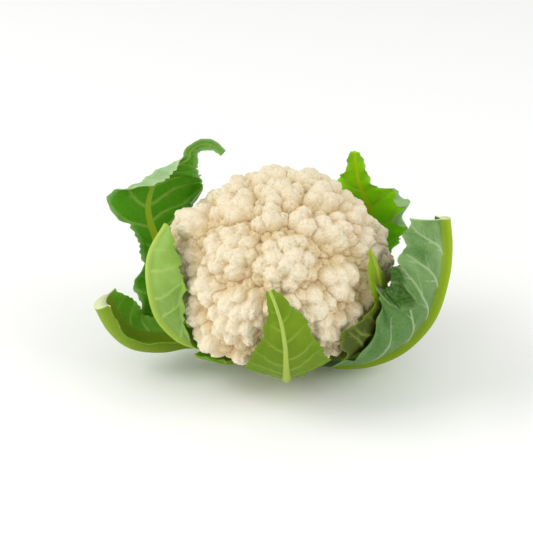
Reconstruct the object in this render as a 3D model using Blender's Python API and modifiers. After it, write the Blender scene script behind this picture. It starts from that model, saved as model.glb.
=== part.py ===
"""A head of cauliflower with its wrapper leaves, standing on its cut stem.

Metres, +Z up. The origin is the middle of the flat cut under the stem, and -Y is the side that the
curd leans towards. Each leaf, the curd and the stem is one solid.
"""

import math
import random

import bmesh
import bpy
import numpy as np

# Driving dimensions of the curd
CURD_WIDTH = 0.160
CURD_RISE = 0.0635
CURD_CENTRE = np.array([-0.002, -0.008, 0.079])
CURD_TILT = math.radians(22)
CURD_AXIS = np.array([0.0, -math.sin(CURD_TILT), math.cos(CURD_TILT)])
UNDERSIDE_RADIUS = 0.050
FLORET_LIMIT = math.radians(112)
UNDERSIDE_START = math.radians(104)
UNDERSIDE_END = math.radians(130)
SMALL_FLORET_RADII = (0.0115, 0.0165)
LOBE_RADIUS = 0.0066
LOBE_SCATTER = 0.0016
SPIRAL_PLACES = 420
FLORET_ROOM = 0.84
CORE_DEPTH = 0.0125
KNOB_DEPTH = 0.0075
FLORET_SINK = 0.30
CURD_SUBDIVISIONS = 6
CURD_TRIANGLES = 6500

# Where the curd bulges over the flattened ball: angle from the crown, angle round it, rise and spread
BULGES = [
    (76, 168, 0.0095, 17),
    (64, 141, -0.0035, 14),
    (69, 38, -0.0035, 16),
    (107, -126, 0.0078, 17),
]

# Driving dimensions of the stem
STEM_HEIGHT = 0.036
STEM_CUT_RADIUS = 0.0195
STEM_WAIST_RADIUS = 0.021
STEM_TOP_RADIUS = 0.025
STEM_SIDES = 32

# The gap that keeps two touching pieces apart, and the least distance from a leaf to the curd
GAP = 0.0003
LEAF_CLEARANCE = 0.0016

# The blade of a leaf: its thickness, its grid, the strip that is kept beside the rib, and the edge's teeth
LEAF_THICKNESS = 0.0011
LEAF_ROWS = 17
BLADE_COLUMNS = 3
LARGE_LEAF_ROWS = 23
LARGE_BLADE_COLUMNS = 5
RIB_COLUMNS = 2
WING = 0.0014
TOOTH = 0.0022
RIB_TAPER = 0.85

# A rolled margin: how far its bend spreads to each side, as a share of the half width, and the roll in
# degrees at which it hangs back in full. The crease and the sweep are for leaves without their own.
FOLD_SPREAD = 0.14
FULL_ROLL = 150
CREASE = [(0.0, 0.8, 0.8), (1.0, 0.8, 0.8)]
SWEEP = [(0.0, 0.0, 0.0), (1.0, 0.0, 0.0)]

GOLDEN_ANGLE = math.pi * (3 - math.sqrt(5))
SEED = 7

# The large florets of the front: angle from the crown, angle round it from +X, radius over the surface
FRONT_FLORETS = [
    (40, -87, 0.027),
    (46, -145, 0.025),
    (78, -117, 0.0285),
    (22, 95, 0.021),
    (10, -160, 0.013),
    (15, -24, 0.010),
    (37, -14, 0.0185),
    (62, -8, 0.016),
    (60, -46, 0.015),
    (66, -70, 0.014),
    (82, -66, 0.017),
    (37, 158, 0.018),
    (66, 166, 0.015),
    (76, -167, 0.015),
    (37, 40, 0.016),
    (56, 133, 0.016),
    (96, -92, 0.016),
    (82, -28, 0.015),
    (86, -47, 0.013),
    (101, -133, 0.015),
]


def smoothstep(low, high, x):
    s = np.clip((x - low) / (high - low), 0.0, 1.0)
    return s * s * (3 - 2 * s)


def unit(v):
    return v / np.linalg.norm(v, axis=-1, keepdims=True)


def curd_frame():
    """Two directions square to the curd's axis, and the axis: the first is +X."""
    across = np.array([1.0, 0.0, 0.0])
    return across, np.cross(CURD_AXIS, across), CURD_AXIS


def curd_direction(polar, azimuth):
    across, back, axis = curd_frame()
    flat = math.cos(azimuth) * across + math.sin(azimuth) * back
    return math.sin(polar) * flat + math.cos(polar) * axis


def envelope(directions):
    """Distance from the curd's centre to the skin over the florets: a flattened ball, drawn in below."""
    rise = directions @ CURD_AXIS
    flat = np.clip(1 - rise * rise, 0, 1)
    dome = 1 / np.sqrt(flat / (CURD_WIDTH / 2) ** 2 + rise**2 / CURD_RISE**2)
    under = smoothstep(UNDERSIDE_START, UNDERSIDE_END, np.arccos(np.clip(rise, -1, 1)))
    skin = dome * (1 - under) + (UNDERSIDE_RADIUS + 0.002) * under
    for polar, azimuth, height, spread in BULGES:
        middle = curd_direction(math.radians(polar), math.radians(azimuth))
        away = np.arccos(np.clip(directions @ middle, -1, 1)) / math.radians(spread)
        skin = skin + height * np.exp(-(away**2))
    return skin


def all_florets(dice):
    """The large florets of the front, then smaller ones on a golden-angle spiral wherever there is room."""
    florets = [(curd_direction(math.radians(p), math.radians(a)), r) for p, a, r in FRONT_FLORETS]
    for i in range(SPIRAL_PLACES):
        polar = math.acos(1 - (i + 0.5) / SPIRAL_PLACES * (1 - math.cos(FLORET_LIMIT)))
        direction = curd_direction(polar, i * GOLDEN_ANGLE)
        radius = dice.uniform(*SMALL_FLORET_RADII)
        reach = float(envelope(direction))
        room = min(math.acos(min(1.0, direction @ d)) * reach / (radius + r) for d, r in florets)
        if room > FLORET_ROOM:
            florets.append((direction, radius))
    return florets


def lobes_of(direction, radius, dice):
    """The rounded knobs of one floret, as centres and radii.

    They stand on a golden-angle spiral, get smaller towards the floret's rim and sink there.
    """
    side = unit(np.cross(direction, [0.31, 0.95, 0.02]))
    up = np.cross(direction, side)
    reach = float(envelope(direction))
    count = max(4, round((radius / LOBE_RADIUS) ** 2 * 1.15))
    turn = dice.uniform(0, math.tau)
    found = []
    for j in range(count):
        share = math.sqrt((j + 0.35) / count)
        angle = j * GOLDEN_ANGLE + turn
        spread = share * radius * 0.93 / reach
        out = math.cos(angle) * side + math.sin(angle) * up
        towards = math.cos(spread) * direction + math.sin(spread) * out
        size = LOBE_RADIUS * dice.uniform(0.86, 1.3) * (1.12 - 0.25 * share)
        sink = radius * FLORET_SINK * share**3 + dice.uniform(0, LOBE_SCATTER)
        found.append((towards * (float(envelope(towards)) - sink - size), size))
    return found


def deep_knobs(dice):
    """Small knobs all over, lower than the florets, which show wherever a gap between florets is deep."""
    found = []
    for i in range(SPIRAL_PLACES):
        polar = math.acos(1 - (i + 0.5) / SPIRAL_PLACES * (1 - math.cos(FLORET_LIMIT)))
        direction = curd_direction(polar, i * GOLDEN_ANGLE)
        size = LOBE_RADIUS * dice.uniform(0.75, 1.0)
        depth = KNOB_DEPTH + dice.uniform(0, LOBE_SCATTER)
        found.append((direction * (float(envelope(direction)) - depth - size), size))
    return found


def star_radius(directions, balls):
    """How far the union of the balls reaches from the curd's centre along each direction."""
    reach = envelope(directions)
    under = smoothstep(UNDERSIDE_START, UNDERSIDE_END, np.arccos(np.clip(directions @ CURD_AXIS, -1, 1)))
    radius = (reach - CORE_DEPTH) * (1 - under) + UNDERSIDE_RADIUS * under
    for centre, size in balls:
        along = directions @ centre
        inside = along**2 - (centre @ centre - size * size)
        hit = (inside > 0) & (along > 0)
        radius[hit] = np.maximum(radius[hit], along[hit] + np.sqrt(inside[hit]))
    return np.minimum(radius, reach)


def material(name, colour, roughness):
    made = bpy.data.materials.new(name)
    made.use_nodes = True
    shader = made.node_tree.nodes["Principled BSDF"]
    shader.inputs["Base Color"].default_value = (*colour, 1)
    shader.inputs["Roughness"].default_value = roughness
    shader.inputs["Metallic"].default_value = 0.0
    return made


def move_to(obj, collection, finish=None):
    for found in obj.users_collection:
        found.objects.unlink(obj)
    collection.objects.link(obj)
    if finish:
        obj.data.materials.append(finish)
    return obj


def make_cutter(radius, height, collection, name):
    """A cylinder that stands on the ground, round the stem's axis."""
    bpy.ops.mesh.primitive_cylinder_add(
        vertices=48, radius=radius, depth=height, location=(0, 0, height / 2)
    )
    cutter = bpy.context.object
    cutter.name = name
    cutter.hide_render = True
    cutter.display_type = "WIRE"
    return move_to(cutter, collection)


def cut_with(obj, cutter):
    cut = obj.modifiers.new("clear of the stem", "BOOLEAN")
    cut.operation = "DIFFERENCE"
    cut.solver = "EXACT"
    cut.object = cutter


def make_curd(collection, finish, cutter):
    """An icosphere raised into florets and their knobs, thinned, and cut flat where the stem carries it."""
    dice = random.Random(SEED)
    balls = [ball for d, r in all_florets(dice) for ball in lobes_of(d, r, dice)] + deep_knobs(dice)
    bpy.ops.mesh.primitive_ico_sphere_add(subdivisions=CURD_SUBDIVISIONS, radius=1)
    curd = bpy.context.object
    curd.name = "curd"
    directions = unit(np.array([vertex.co[:] for vertex in curd.data.vertices]))
    shaped = CURD_CENTRE + directions * star_radius(directions, balls)[:, None]
    curd.data.vertices.foreach_set("co", shaped.ravel())
    curd.data.update()
    thin = curd.modifiers.new("thin", "DECIMATE")
    thin.ratio = CURD_TRIANGLES / len(curd.data.polygons)
    cut_with(curd, cutter)
    curd.data.shade_smooth()
    return move_to(curd, collection, finish)


def stem_profile():
    """Radius and height down the outside of the stem, with a swelling under each whorl of leaves."""
    return [
        (0.0, STEM_HEIGHT),
        (STEM_TOP_RADIUS - 0.001, STEM_HEIGHT),
        (STEM_TOP_RADIUS, STEM_HEIGHT - 0.001),
        (STEM_TOP_RADIUS - 0.002, STEM_HEIGHT * 0.75),
        (STEM_WAIST_RADIUS + 0.001, STEM_HEIGHT * 0.55),
        (STEM_WAIST_RADIUS, STEM_HEIGHT * 0.35),
        (STEM_WAIST_RADIUS, STEM_HEIGHT * 0.15),
        (STEM_CUT_RADIUS + 0.0008, 0.0012),
        (STEM_CUT_RADIUS, 0.0),
        (0.0, 0.0),
    ]


def turned(name, profile, collection):
    mesh = bpy.data.meshes.new(name)
    build = bmesh.new()
    corners = [build.verts.new((r, 0, z)) for r, z in profile]
    for a, b in zip(corners, corners[1:]):
        build.edges.new((a, b))
    build.to_mesh(mesh)
    build.free()
    obj = bpy.data.objects.new(name, mesh)
    collection.objects.link(obj)
    spin = obj.modifiers.new("turn", "SCREW")
    spin.steps = STEM_SIDES
    spin.render_steps = STEM_SIDES
    spin.use_merge_vertices = True
    spin.merge_threshold = 0.00005
    return obj


def smooth_path(points, fractions):
    """Places and directions along a smooth curve through the points, at shares of its length."""
    p = np.array(points, float)
    p = np.vstack([2 * p[0] - p[1], p, 2 * p[-1] - p[-2]])
    s = np.linspace(0, 1, 25)[:, None]
    pieces = []
    for a, b, c, d in zip(p, p[1:], p[2:], p[3:]):
        pieces.append(
            0.5 * (2 * b + (c - a) * s + (2 * a - 5 * b + 4 * c - d) * s**2 + (3 * b - a - 3 * c + d) * s**3)
        )
    line = np.vstack([piece[:-1] for piece in pieces] + [pieces[-1][-1:]])
    length = np.concatenate([[0], np.cumsum(np.linalg.norm(np.diff(line, axis=0), axis=1))])
    at = np.array(fractions) * length[-1]
    places = np.stack([np.interp(at, length, line[:, k]) for k in range(3)], axis=1)
    step = length[-1] * 0.01
    ahead = np.stack([np.interp(np.minimum(at + step, length[-1]), length, line[:, k]) for k in range(3)], 1)
    behind = np.stack([np.interp(np.maximum(at - step, 0), length, line[:, k]) for k in range(3)], 1)
    return places, unit(ahead - behind)


def between(rows, fractions):
    """Columns of the leaf's outline table, read smoothly at shares of the leaf's length."""
    table = np.array(rows, float)
    t = np.array(fractions)
    k = np.clip(np.searchsorted(table[:, 0], t, side="right") - 1, 0, len(table) - 2)
    share = (t - table[k, 0]) / (table[k + 1, 0] - table[k, 0])
    share = smoothstep(0, 1, share)[:, None]
    return table[k, 1:] * (1 - share) + table[k + 1, 1:] * share


def clear_of_curd(points, clearance):
    """Moves each point that is nearer than the clearance straight out, so that a leaf lies on the florets."""
    away = points - CURD_CENTRE
    reach = np.linalg.norm(away, axis=-1)
    directions = away / reach[..., None]
    least = envelope(directions) + clearance
    return CURD_CENTRE + directions * np.maximum(reach, least)[..., None]


def leaf_surface(leaf, rows, rib_columns, blade_columns):
    """The leaf's inner face as a grid of points, and its thickness there.

    Each row crosses the rib square to it. Its two halves start flat and turn towards the curd as they
    run out, by the angles of the outline table, and the outer part of a half may roll over.
    """
    t = np.linspace(0, 1, rows)
    rib, along = smooth_path(leaf["rib"], t)
    out = unit(rib - CURD_CENTRE)
    if "facing" in leaf:
        turn = smoothstep(0.2, 0.5, t)[:, None]
        out = out * (1 - turn) + unit(np.array(leaf["facing"])) * turn
    out = unit(out - (out * along).sum(1, keepdims=True) * along)
    across = np.cross(along, out)
    table = between(leaf["outline"], t)
    thick_base, thick_end = leaf["rib_depth"]
    half_base, half_end = leaf["rib_half_width"]
    taper = (1 - t) ** leaf.get("rib_taper", RIB_TAPER)
    droop = leaf.get("droop", (0.0, 0.0))
    rib_depth = thick_end + (thick_base - thick_end) * taper
    rib_half = half_end + (half_base - half_end) * taper
    grid = np.zeros((rows, 2 * (rib_columns + blade_columns) + 1, 3))
    depth = np.zeros(grid.shape[:2])
    middle = rib_columns + blade_columns
    grid[:, middle] = rib
    depth[:, middle] = rib_depth
    teeth = leaf.get("tooth", TOOTH) * np.where(np.arange(rows) % 2, 1, -1) * smoothstep(0.2, 0.35, t)
    for side in (-1, 1):
        width, curl, roll = (table[:, k + (side > 0)] for k in (0, 2, 4))
        teeth_here = teeth * np.minimum(1, width / 0.012)
        crease = between(leaf.get("crease", CREASE), t)[:, int(side > 0)]
        lean = between(leaf.get("sweep", SWEEP), t)[:, int(side > 0)]
        wave = leaf["wave"] * np.sin(leaf["waves"] * math.tau * t + (1.3 if side > 0 else 3.4))
        place = rib.copy()
        before = np.zeros(rows)
        span = np.maximum(width, rib_half + WING) + np.where(width > 0.006, teeth_here, 0)
        for k in range(1, middle + 1):
            if k <= rib_columns:
                x = rib_half * (k / rib_columns) ** 0.8
            else:
                x = rib_half + (span - rib_half) * (k - rib_columns) / blade_columns
            u = (x + before) / 2 / span
            fold = smoothstep(crease - FOLD_SPREAD, crease + FOLD_SPREAD, u)
            angle = np.radians(curl * u + roll * fold + wave * u * smoothstep(0.2, 0.4, t))
            step = (x - before)[:, None]
            place = place + step * (side * np.cos(angle)[:, None] * across - np.sin(angle)[:, None] * out)
            hang = droop[side > 0] * fold * np.minimum(1, np.abs(roll) / FULL_ROLL)
            place = place + step * (lean - hang)[:, None] * along
            grid[:, middle + side * k] = place
            inside = np.sqrt(np.clip(1 - (x / rib_half) ** 2, 0, 1))
            depth[:, middle + side * k] = LEAF_THICKNESS + (rib_depth - LEAF_THICKNESS) * inside
            before = x
    return clear_of_curd(grid, leaf.get("clearance", LEAF_CLEARANCE)), depth


def make_leaf(name, leaf, collection, finish, cutter):
    """A grid bent into the leaf's inner face, with a wall that is thick along the rib."""
    large = leaf.get("large", False)
    size = (LARGE_LEAF_ROWS, LARGE_BLADE_COLUMNS) if large else (LEAF_ROWS, BLADE_COLUMNS)
    points, depth = leaf_surface(leaf, size[0], RIB_COLUMNS, size[1])
    rows, columns = depth.shape
    bpy.ops.mesh.primitive_grid_add(x_subdivisions=columns - 1, y_subdivisions=rows - 1, size=2)
    obj = bpy.context.object
    obj.name = name
    mesh = obj.data
    walls = obj.vertex_groups.new(name="wall")
    most = float(depth.max())
    for vertex in mesh.vertices:
        column = round((vertex.co.x + 1) / 2 * (columns - 1))
        row = round((vertex.co.y + 1) / 2 * (rows - 1))
        vertex.co = points[row, column]
        walls.add([vertex.index], float(depth[row, column]) / most, "REPLACE")
    build = bmesh.new()
    build.from_mesh(mesh)
    bmesh.ops.triangulate(build, faces=build.faces[:])
    bmesh.ops.reverse_faces(build, faces=build.faces[:])
    build.to_mesh(mesh)
    build.free()
    wall = obj.modifiers.new("wall", "SOLIDIFY")
    wall.thickness = most
    wall.offset = -1
    wall.vertex_group = walls.name
    cut_with(obj, cutter)
    mesh.shade_smooth()
    return move_to(obj, collection, finish)


# Each leaf has the line of its rib, from the stem to its end, and its outline, as rows of: share of the
# length, half width of the two sides, turn of the two sides towards the curd in degrees, and roll of their
# margins in degrees. The first side is the left one, seen from outside with the leaf's tip up.
# It has the half width and the depth of the rib, at the stem and at the end, and the margin's waves: how
# far they turn, in degrees, and how many there are.
# Some leaves have more: "facing" is the way the outer face looks where that isn't straight away from the
# curd; "clearance" replaces the least distance to the curd; "sweep" is how far the two sides lean towards
# the tip as they run out, by share of the length; "crease" is the share of the half width at which the
# margins roll, likewise; "droop" is how far a rolled margin hangs back; "rib_taper" is how fast the rib
# gets thinner; "tooth" replaces the size of the edge's teeth; "large" gives the leaf the finer grid; and
# "young" its light green.
LEAVES = {
    "leaf_front": {
        "young": True,
        "rib": [
            (0.0005, -0.016, 0.012),
            (0.001, -0.028, 0.0095),
            (0.001, -0.042, 0.012),
            (0.001, -0.058, 0.0205),
            (0.0005, -0.074, 0.0335),
            (0, -0.085, 0.05),
            (-0.0006, -0.088, 0.063),
            (-0.003, -0.087, 0.079),
            (-0.007, -0.0825, 0.091),
            (-0.0105, -0.078, 0.0985),
        ],
        "outline": [
            (0.00, 0.0065, 0.0065, 0, 0, 0, 0),
            (0.3, 0.009, 0.009, 10, 10, 0, 0),
            (0.42, 0.013, 0.014, 20, 20, 0, 0),
            (0.51, 0.027, 0.03, 35, 35, 0, 0),
            (0.64, 0.0225, 0.0255, 45, 45, 0, 0),
            (0.8, 0.014, 0.017, 35, 35, 0, 0),
            (0.93, 0.006, 0.008, 20, 20, 0, 0),
            (1.00, 0.003, 0.003, 10, 10, 0, 0),
        ],
        "rib_depth": (0.007, 0.0016),
        "waves": 2,
        "rib_taper": 1.7,
        "rib_half_width": (0.0064, 0.001),
        "wave": 8,
    },
    "leaf_right_large": {
        "rib": [
            (0.014, -0.006, 0.013),
            (0.026, -0.012, 0.0115),
            (0.042, -0.018, 0.0125),
            (0.06, -0.021, 0.016),
            (0.08, -0.021, 0.026),
            (0.097, -0.02, 0.047),
            (0.105, -0.017, 0.074),
            (0.1068, -0.014, 0.097),
            (0.105, -0.011, 0.117),
        ],
        "outline": [
            (0.00, 0.0085, 0.0085, 0, 0, 0, 0),
            (0.12, 0.018, 0.01, 20, 15, 0, 0),
            (0.22, 0.036, 0.012, 49, 20, 0, 0),
            (0.3, 0.053, 0.016, 66, 30, 0, 0),
            (0.36, 0.067, 0.02, 85, 40, 0, 0),
            (0.48, 0.074, 0.026, 94, 40, 0, 0),
            (0.53, 0.078, 0.028, 98, 40, -50, 0),
            (0.6, 0.086, 0.028, 104, 40, -112, 0),
            (0.67, 0.083, 0.03, 108, 40, -112, 0),
            (0.74, 0.071, 0.03, 104, 40, -112, 0),
            (0.79, 0.055, 0.03, 90, 40, -72, 0),
            (0.83, 0.046, 0.03, 78, 40, 0, 0),
            (0.9, 0.0435, 0.028, 79, 40, 0, 0),
            (1.00, 0.037, 0.022, 72, 40, 0, 0),
        ],
        "rib_depth": (0.0095, 0.0070),
        "waves": 3,
        "clearance": 0.006,
        "large": True,
        "tooth": 0.0012,
        "crease": [
            (0.0, 0.9, 0.8),
            (0.53, 0.88, 0.8),
            (0.6, 0.78, 0.8),
            (0.67, 0.74, 0.8),
            (0.74, 0.78, 0.8),
            (0.79, 0.9, 0.8),
            (1.0, 0.9, 0.8),
        ],
        "wave": 0,
        "sweep": [
            (0.25, 0.0, 0.0),
            (0.5, 0.3, 0.0),
            (1.0, 0.3, 0.0),
        ],
        "rib_half_width": (0.0084, 0.0045),
        "droop": (0.8, 0.0),
    },
    "leaf_left_cut": {
        "rib": [
            (-0.014, -0.002, 0.014),
            (-0.028, -0.005, 0.0145),
            (-0.048, -0.009, 0.022),
            (-0.068, -0.012, 0.026),
            (-0.087, -0.014, 0.024),
            (-0.1045, -0.015, 0.027),
            (-0.116, -0.015, 0.038),
            (-0.124, -0.015, 0.056),
        ],
        "outline": [
            (0.00, 0.0058, 0.0058, 0, 0, 0, 0),
            (0.25, 0.009, 0.009, 20, 10, 0, 0),
            (0.6, 0.019, 0.0112, 60, 30, 0, 0),
            (0.85, 0.025, 0.0118, 65, 30, 0, 0),
            (1.00, 0.015, 0.0118, 60, 30, 0, 0),
        ],
        "rib_half_width": (0.0060, 0.0088),
        "rib_depth": (0.0095, 0.0095),
        "waves": 2,
        "wave": 8,
        "tooth": 0.0009,
    },
    "leaf_left_near": {
        "young": True,
        "rib": [
            (-0.014, -0.008, 0.026),
            (-0.028, -0.015, 0.025),
            (-0.044, -0.0225, 0.027),
            (-0.062, -0.028, 0.0315),
            (-0.074, -0.031, 0.0395),
            (-0.0855, -0.031, 0.055),
            (-0.0905, -0.03, 0.08),
            (-0.089, -0.027, 0.099),
            (-0.079, -0.02, 0.117),
        ],
        "outline": [
            (0.00, 0.007, 0.007, 0, 0, 0, 0),
            (0.25, 0.008, 0.01, 20, 30, 0, 0),
            (0.45, 0.014, 0.03, 60, 80, 0, 0),
            (0.70, 0.016, 0.04, 60, 90, 0, 0),
            (0.88, 0.012, 0.028, 50, 70, 0, 0),
            (0.95, 0.007, 0.014, 50, 70, 0, 0),
            (1.00, 0.005, 0.005, 20, 20, 0, 0),
        ],
        "waves": 3,
        "wave": 5,
        "rib_half_width": (0.0062, 0.0022),
        "rib_depth": (0.0070, 0.0028),
    },
    "leaf_left_tall": {
        "rib": [
            (-0.013, 0.008, 0.012),
            (-0.03, 0.018, 0.012),
            (-0.06, 0.03, 0.028),
            (-0.083, 0.031, 0.06),
            (-0.095, 0.033, 0.092),
            (-0.0955, 0.0345, 0.111),
            (-0.088, 0.035, 0.126),
            (-0.075, 0.035, 0.136),
            (-0.0655, 0.0345, 0.1465),
            (-0.057, 0.033, 0.154),
            (-0.0425, 0.029, 0.147),
        ],
        "outline": [
            (0.00, 0.0065, 0.0065, 0, 0, 0, 0),
            (0.16, 0.009, 0.01, 20, 0, 0, 0),
            (0.24, 0.018, 0.034, 20, -20, 0, 0),
            (0.32, 0.026, 0.044, 30, -10, 0, 0),
            (0.4, 0.02, 0.031, 30, 10, 0, 0),
            (0.46, 0.016, 0.015, 20, 10, 0, 0),
            (0.53, 0.024, 0.013, 20, 10, 0, 0),
            (0.575, 0.028, 0.0145, 20, 10, 0, 0),
            (0.6, 0.035, 0.025, 18, 10, 30, 0),
            (0.63, 0.042, 0.03, 15, 10, 80, 0),
            (0.655, 0.0435, 0.028, 15, 10, 110, 0),
            (0.675, 0.042, 0.0245, 12, 10, 115, 80),
            (0.7, 0.037, 0.0215, 10, 10, 115, 115),
            (0.74, 0.0245, 0.017, 10, 10, 110, 120),
            (0.79, 0.015, 0.0105, 15, 10, 80, 120),
            (0.83, 0.009, 0.0065, 20, 10, 0, 40),
            (0.87, 0.0055, 0.005, 20, 20, 0, 0),
            (0.93, 0.0045, 0.0045, 30, 30, 0, 0),
            (1.00, 0.0025, 0.0025, 20, 20, 0, 0),
        ],
        "rib_half_width": (0.0066, 0.001),
        "rib_depth": (0.0085, 0.0014),
        "waves": 4,
        "facing": (-0.42, 0.90, 0.05),
        "clearance": 0.004,
        "large": True,
        "tooth": 0.0012,
        "crease": [
            (0.0, 0.84, 0.85),
            (0.65, 0.84, 0.85),
            (0.675, 0.84, 0.72),
            (0.7, 0.84, 0.5),
            (0.74, 0.84, 0.42),
            (1.0, 0.82, 0.4),
        ],
        "wave": 6,
        "sweep": [
            (0.25, 0.0, 0.0),
            (0.5, 0.0, 0.35),
            (0.62, 0.0, 0.35),
            (0.7, 0.5, 0.35),
            (0.76, 0.9, 0.35),
            (0.82, 0.8, 0.35),
            (0.88, 0.2, 0.2),
            (1.0, 0.0, 0.0),
        ],
    },
    "leaf_right_back": {
        "rib": [
            (0.014, 0.011, 0.012),
            (0.03, 0.022, 0.012),
            (0.05, 0.036, 0.026),
            (0.063, 0.047, 0.054),
            (0.064, 0.051, 0.084),
            (0.059, 0.052, 0.1),
            (0.0535, 0.051, 0.114),
            (0.0505, 0.05, 0.1285),
            (0.049, 0.049, 0.14),
        ],
        "outline": [
            (0.00, 0.007, 0.007, 0, 0, 0, 0),
            (0.2, 0.01, 0.01, 20, 20, 0, 0),
            (0.42, 0.018, 0.014, 30, 20, 0, 0),
            (0.54, 0.021, 0.019, 5, 20, 0, 0),
            (0.6, 0.026, 0.019, 26, 20, 0, 0),
            (0.65, 0.031, 0.018, 28, 20, 50, 0),
            (0.7, 0.042, 0.019, 48, 20, 80, 0),
            (0.75, 0.044, 0.018, 38, 0, 90, 0),
            (0.785, 0.033, 0.017, 20, -10, 60, 0),
            (0.81, 0.012, 0.018, 20, -10, 0, 0),
            (0.85, 0.0095, 0.02, 10, -20, 0, 0),
            (0.88, 0.0085, 0.014, 0, -10, 0, 0),
            (0.91, 0.0076, 0.008, 0, 0, 0, 0),
            (0.95, 0.007, 0.0062, 0, 0, 0, 0),
            (1.00, 0.0042, 0.003, 10, 10, 0, 0),
        ],
        "rib_half_width": (0.0070, 0.001),
        "rib_depth": (0.0085, 0.0014),
        "waves": 4,
        "facing": (0.35, 0.92, 0.0),
        "clearance": 0.003,
        "wave": 5,
        "tooth": 0.0014,
        "large": True,
        "crease": [
            (0.0, 0.84, 0.8),
            (1.0, 0.84, 0.8),
        ],
    },
    "leaf_right_inner": {
        "young": True,
        "rib": [
            (0.012, -0.01, 0.0255),
            (0.024, -0.021, 0.027),
            (0.038, -0.034, 0.031),
            (0.05, -0.045, 0.041),
            (0.06, -0.052, 0.058),
            (0.0645, -0.054, 0.079),
            (0.062, -0.055, 0.094),
            (0.055, -0.051, 0.114),
        ],
        "outline": [
            (0.00, 0.007, 0.007, 0, 0, 0, 0),
            (0.3, 0.01, 0.008, 30, 20, 0, 0),
            (0.42, 0.02, 0.013, 50, 40, 0, 0),
            (0.6, 0.022, 0.013, 50, 40, 0, 0),
            (0.67, 0.012, 0.012, 45, 40, 0, 0),
            (0.72, 0.009, 0.011, 40, 40, 0, 0),
            (0.8, 0.0095, 0.008, 40, 30, 0, 0),
            (0.88, 0.008, 0.0055, 30, 30, 0, 0),
            (1.00, 0.0018, 0.0018, 10, 10, 0, 0),
        ],
        "rib_half_width": (0.006, 0.0008),
        "waves": 3,
        "wave": 5,
        "rib_depth": (0.0050, 0.0014),
    },
    "leaf_left_low": {
        "rib": [
            (-0.0085, -0.011, 0.013),
            (-0.018, -0.021, 0.013),
            (-0.03, -0.031, 0.016),
            (-0.043, -0.038, 0.0195),
            (-0.057, -0.042, 0.026),
        ],
        "outline": [
            (0.00, 0.0055, 0.0055, 0, 0, 0, 0),
            (0.35, 0.007, 0.007, 30, 30, 0, 0),
            (0.6, 0.008, 0.009, 50, 50, 0, 0),
            (0.85, 0.009, 0.01, 40, 50, 0, 0),
            (1.00, 0.003, 0.003, 20, 20, 0, 0),
        ],
        "rib_half_width": (0.0050, 0.001),
        "rib_depth": (0.0055, 0.0014),
        "wave": 10,
        "waves": 2,
        "clearance": 0.0045,
        "tooth": 0.001,
    },
    "leaf_back": {
        "rib": [
            (-0.001, 0.016, 0.012),
            (-0.002, 0.032, 0.011),
            (-0.004, 0.056, 0.018),
            (-0.006, 0.08, 0.041),
            (-0.007, 0.092, 0.068),
            (-0.007, 0.093, 0.094),
            (-0.006, 0.089, 0.109),
        ],
        "outline": [
            (0.00, 0.0075, 0.0075, 0, 0, 0, 0),
            (0.25, 0.011, 0.011, 20, 20, 0, 0),
            (0.50, 0.018, 0.025, 60, 60, 0, 0),
            (0.75, 0.028, 0.033, 60, 60, -30, -40),
            (0.92, 0.024, 0.024, 40, 40, -30, -30),
            (1.00, 0.012, 0.012, 20, 20, 0, 0),
        ],
        "rib_half_width": (0.0074, 0.002),
        "rib_depth": (0.0095, 0.0030),
        "wave": 14,
        "waves": 4,
        "clearance": 0.0075,
    },
    "leaf_back_right": {
        "young": True,
        "rib": [
            (0.005, 0.015, 0.025),
            (0.013, 0.035, 0.025),
            (0.023, 0.057, 0.037),
            (0.03, 0.07, 0.059),
            (0.033, 0.075, 0.084),
            (0.032, 0.073, 0.107),
        ],
        "outline": [
            (0.00, 0.0065, 0.0065, 0, 0, 0, 0),
            (0.30, 0.009, 0.009, 20, 20, 0, 0),
            (0.55, 0.015, 0.015, 60, 60, 0, 0),
            (0.80, 0.017, 0.017, 60, 60, 0, 0),
            (1.00, 0.004, 0.004, 20, 20, 0, 0),
        ],
        "rib_half_width": (0.0055, 0.001),
        "rib_depth": (0.0045, 0.0014),
        "wave": 12,
        "waves": 3,
    },
    "leaf_back_left": {
        "young": True,
        "rib": [
            (-0.008, 0.014, 0.025),
            (-0.019, 0.033, 0.024),
            (-0.032, 0.053, 0.035),
            (-0.041, 0.067, 0.059),
            (-0.045, 0.071, 0.084),
            (-0.045, 0.07, 0.108),
        ],
        "outline": [
            (0.00, 0.0065, 0.0065, 0, 0, 0, 0),
            (0.30, 0.009, 0.009, 20, 20, 0, 0),
            (0.55, 0.015, 0.015, 60, 60, 0, 0),
            (0.80, 0.017, 0.017, 60, 60, 0, 0),
            (1.00, 0.004, 0.004, 20, 20, 0, 0),
        ],
        "rib_half_width": (0.0055, 0.001),
        "rib_depth": (0.0045, 0.0014),
        "wave": 12,
        "waves": 3,
    },
}


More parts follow.
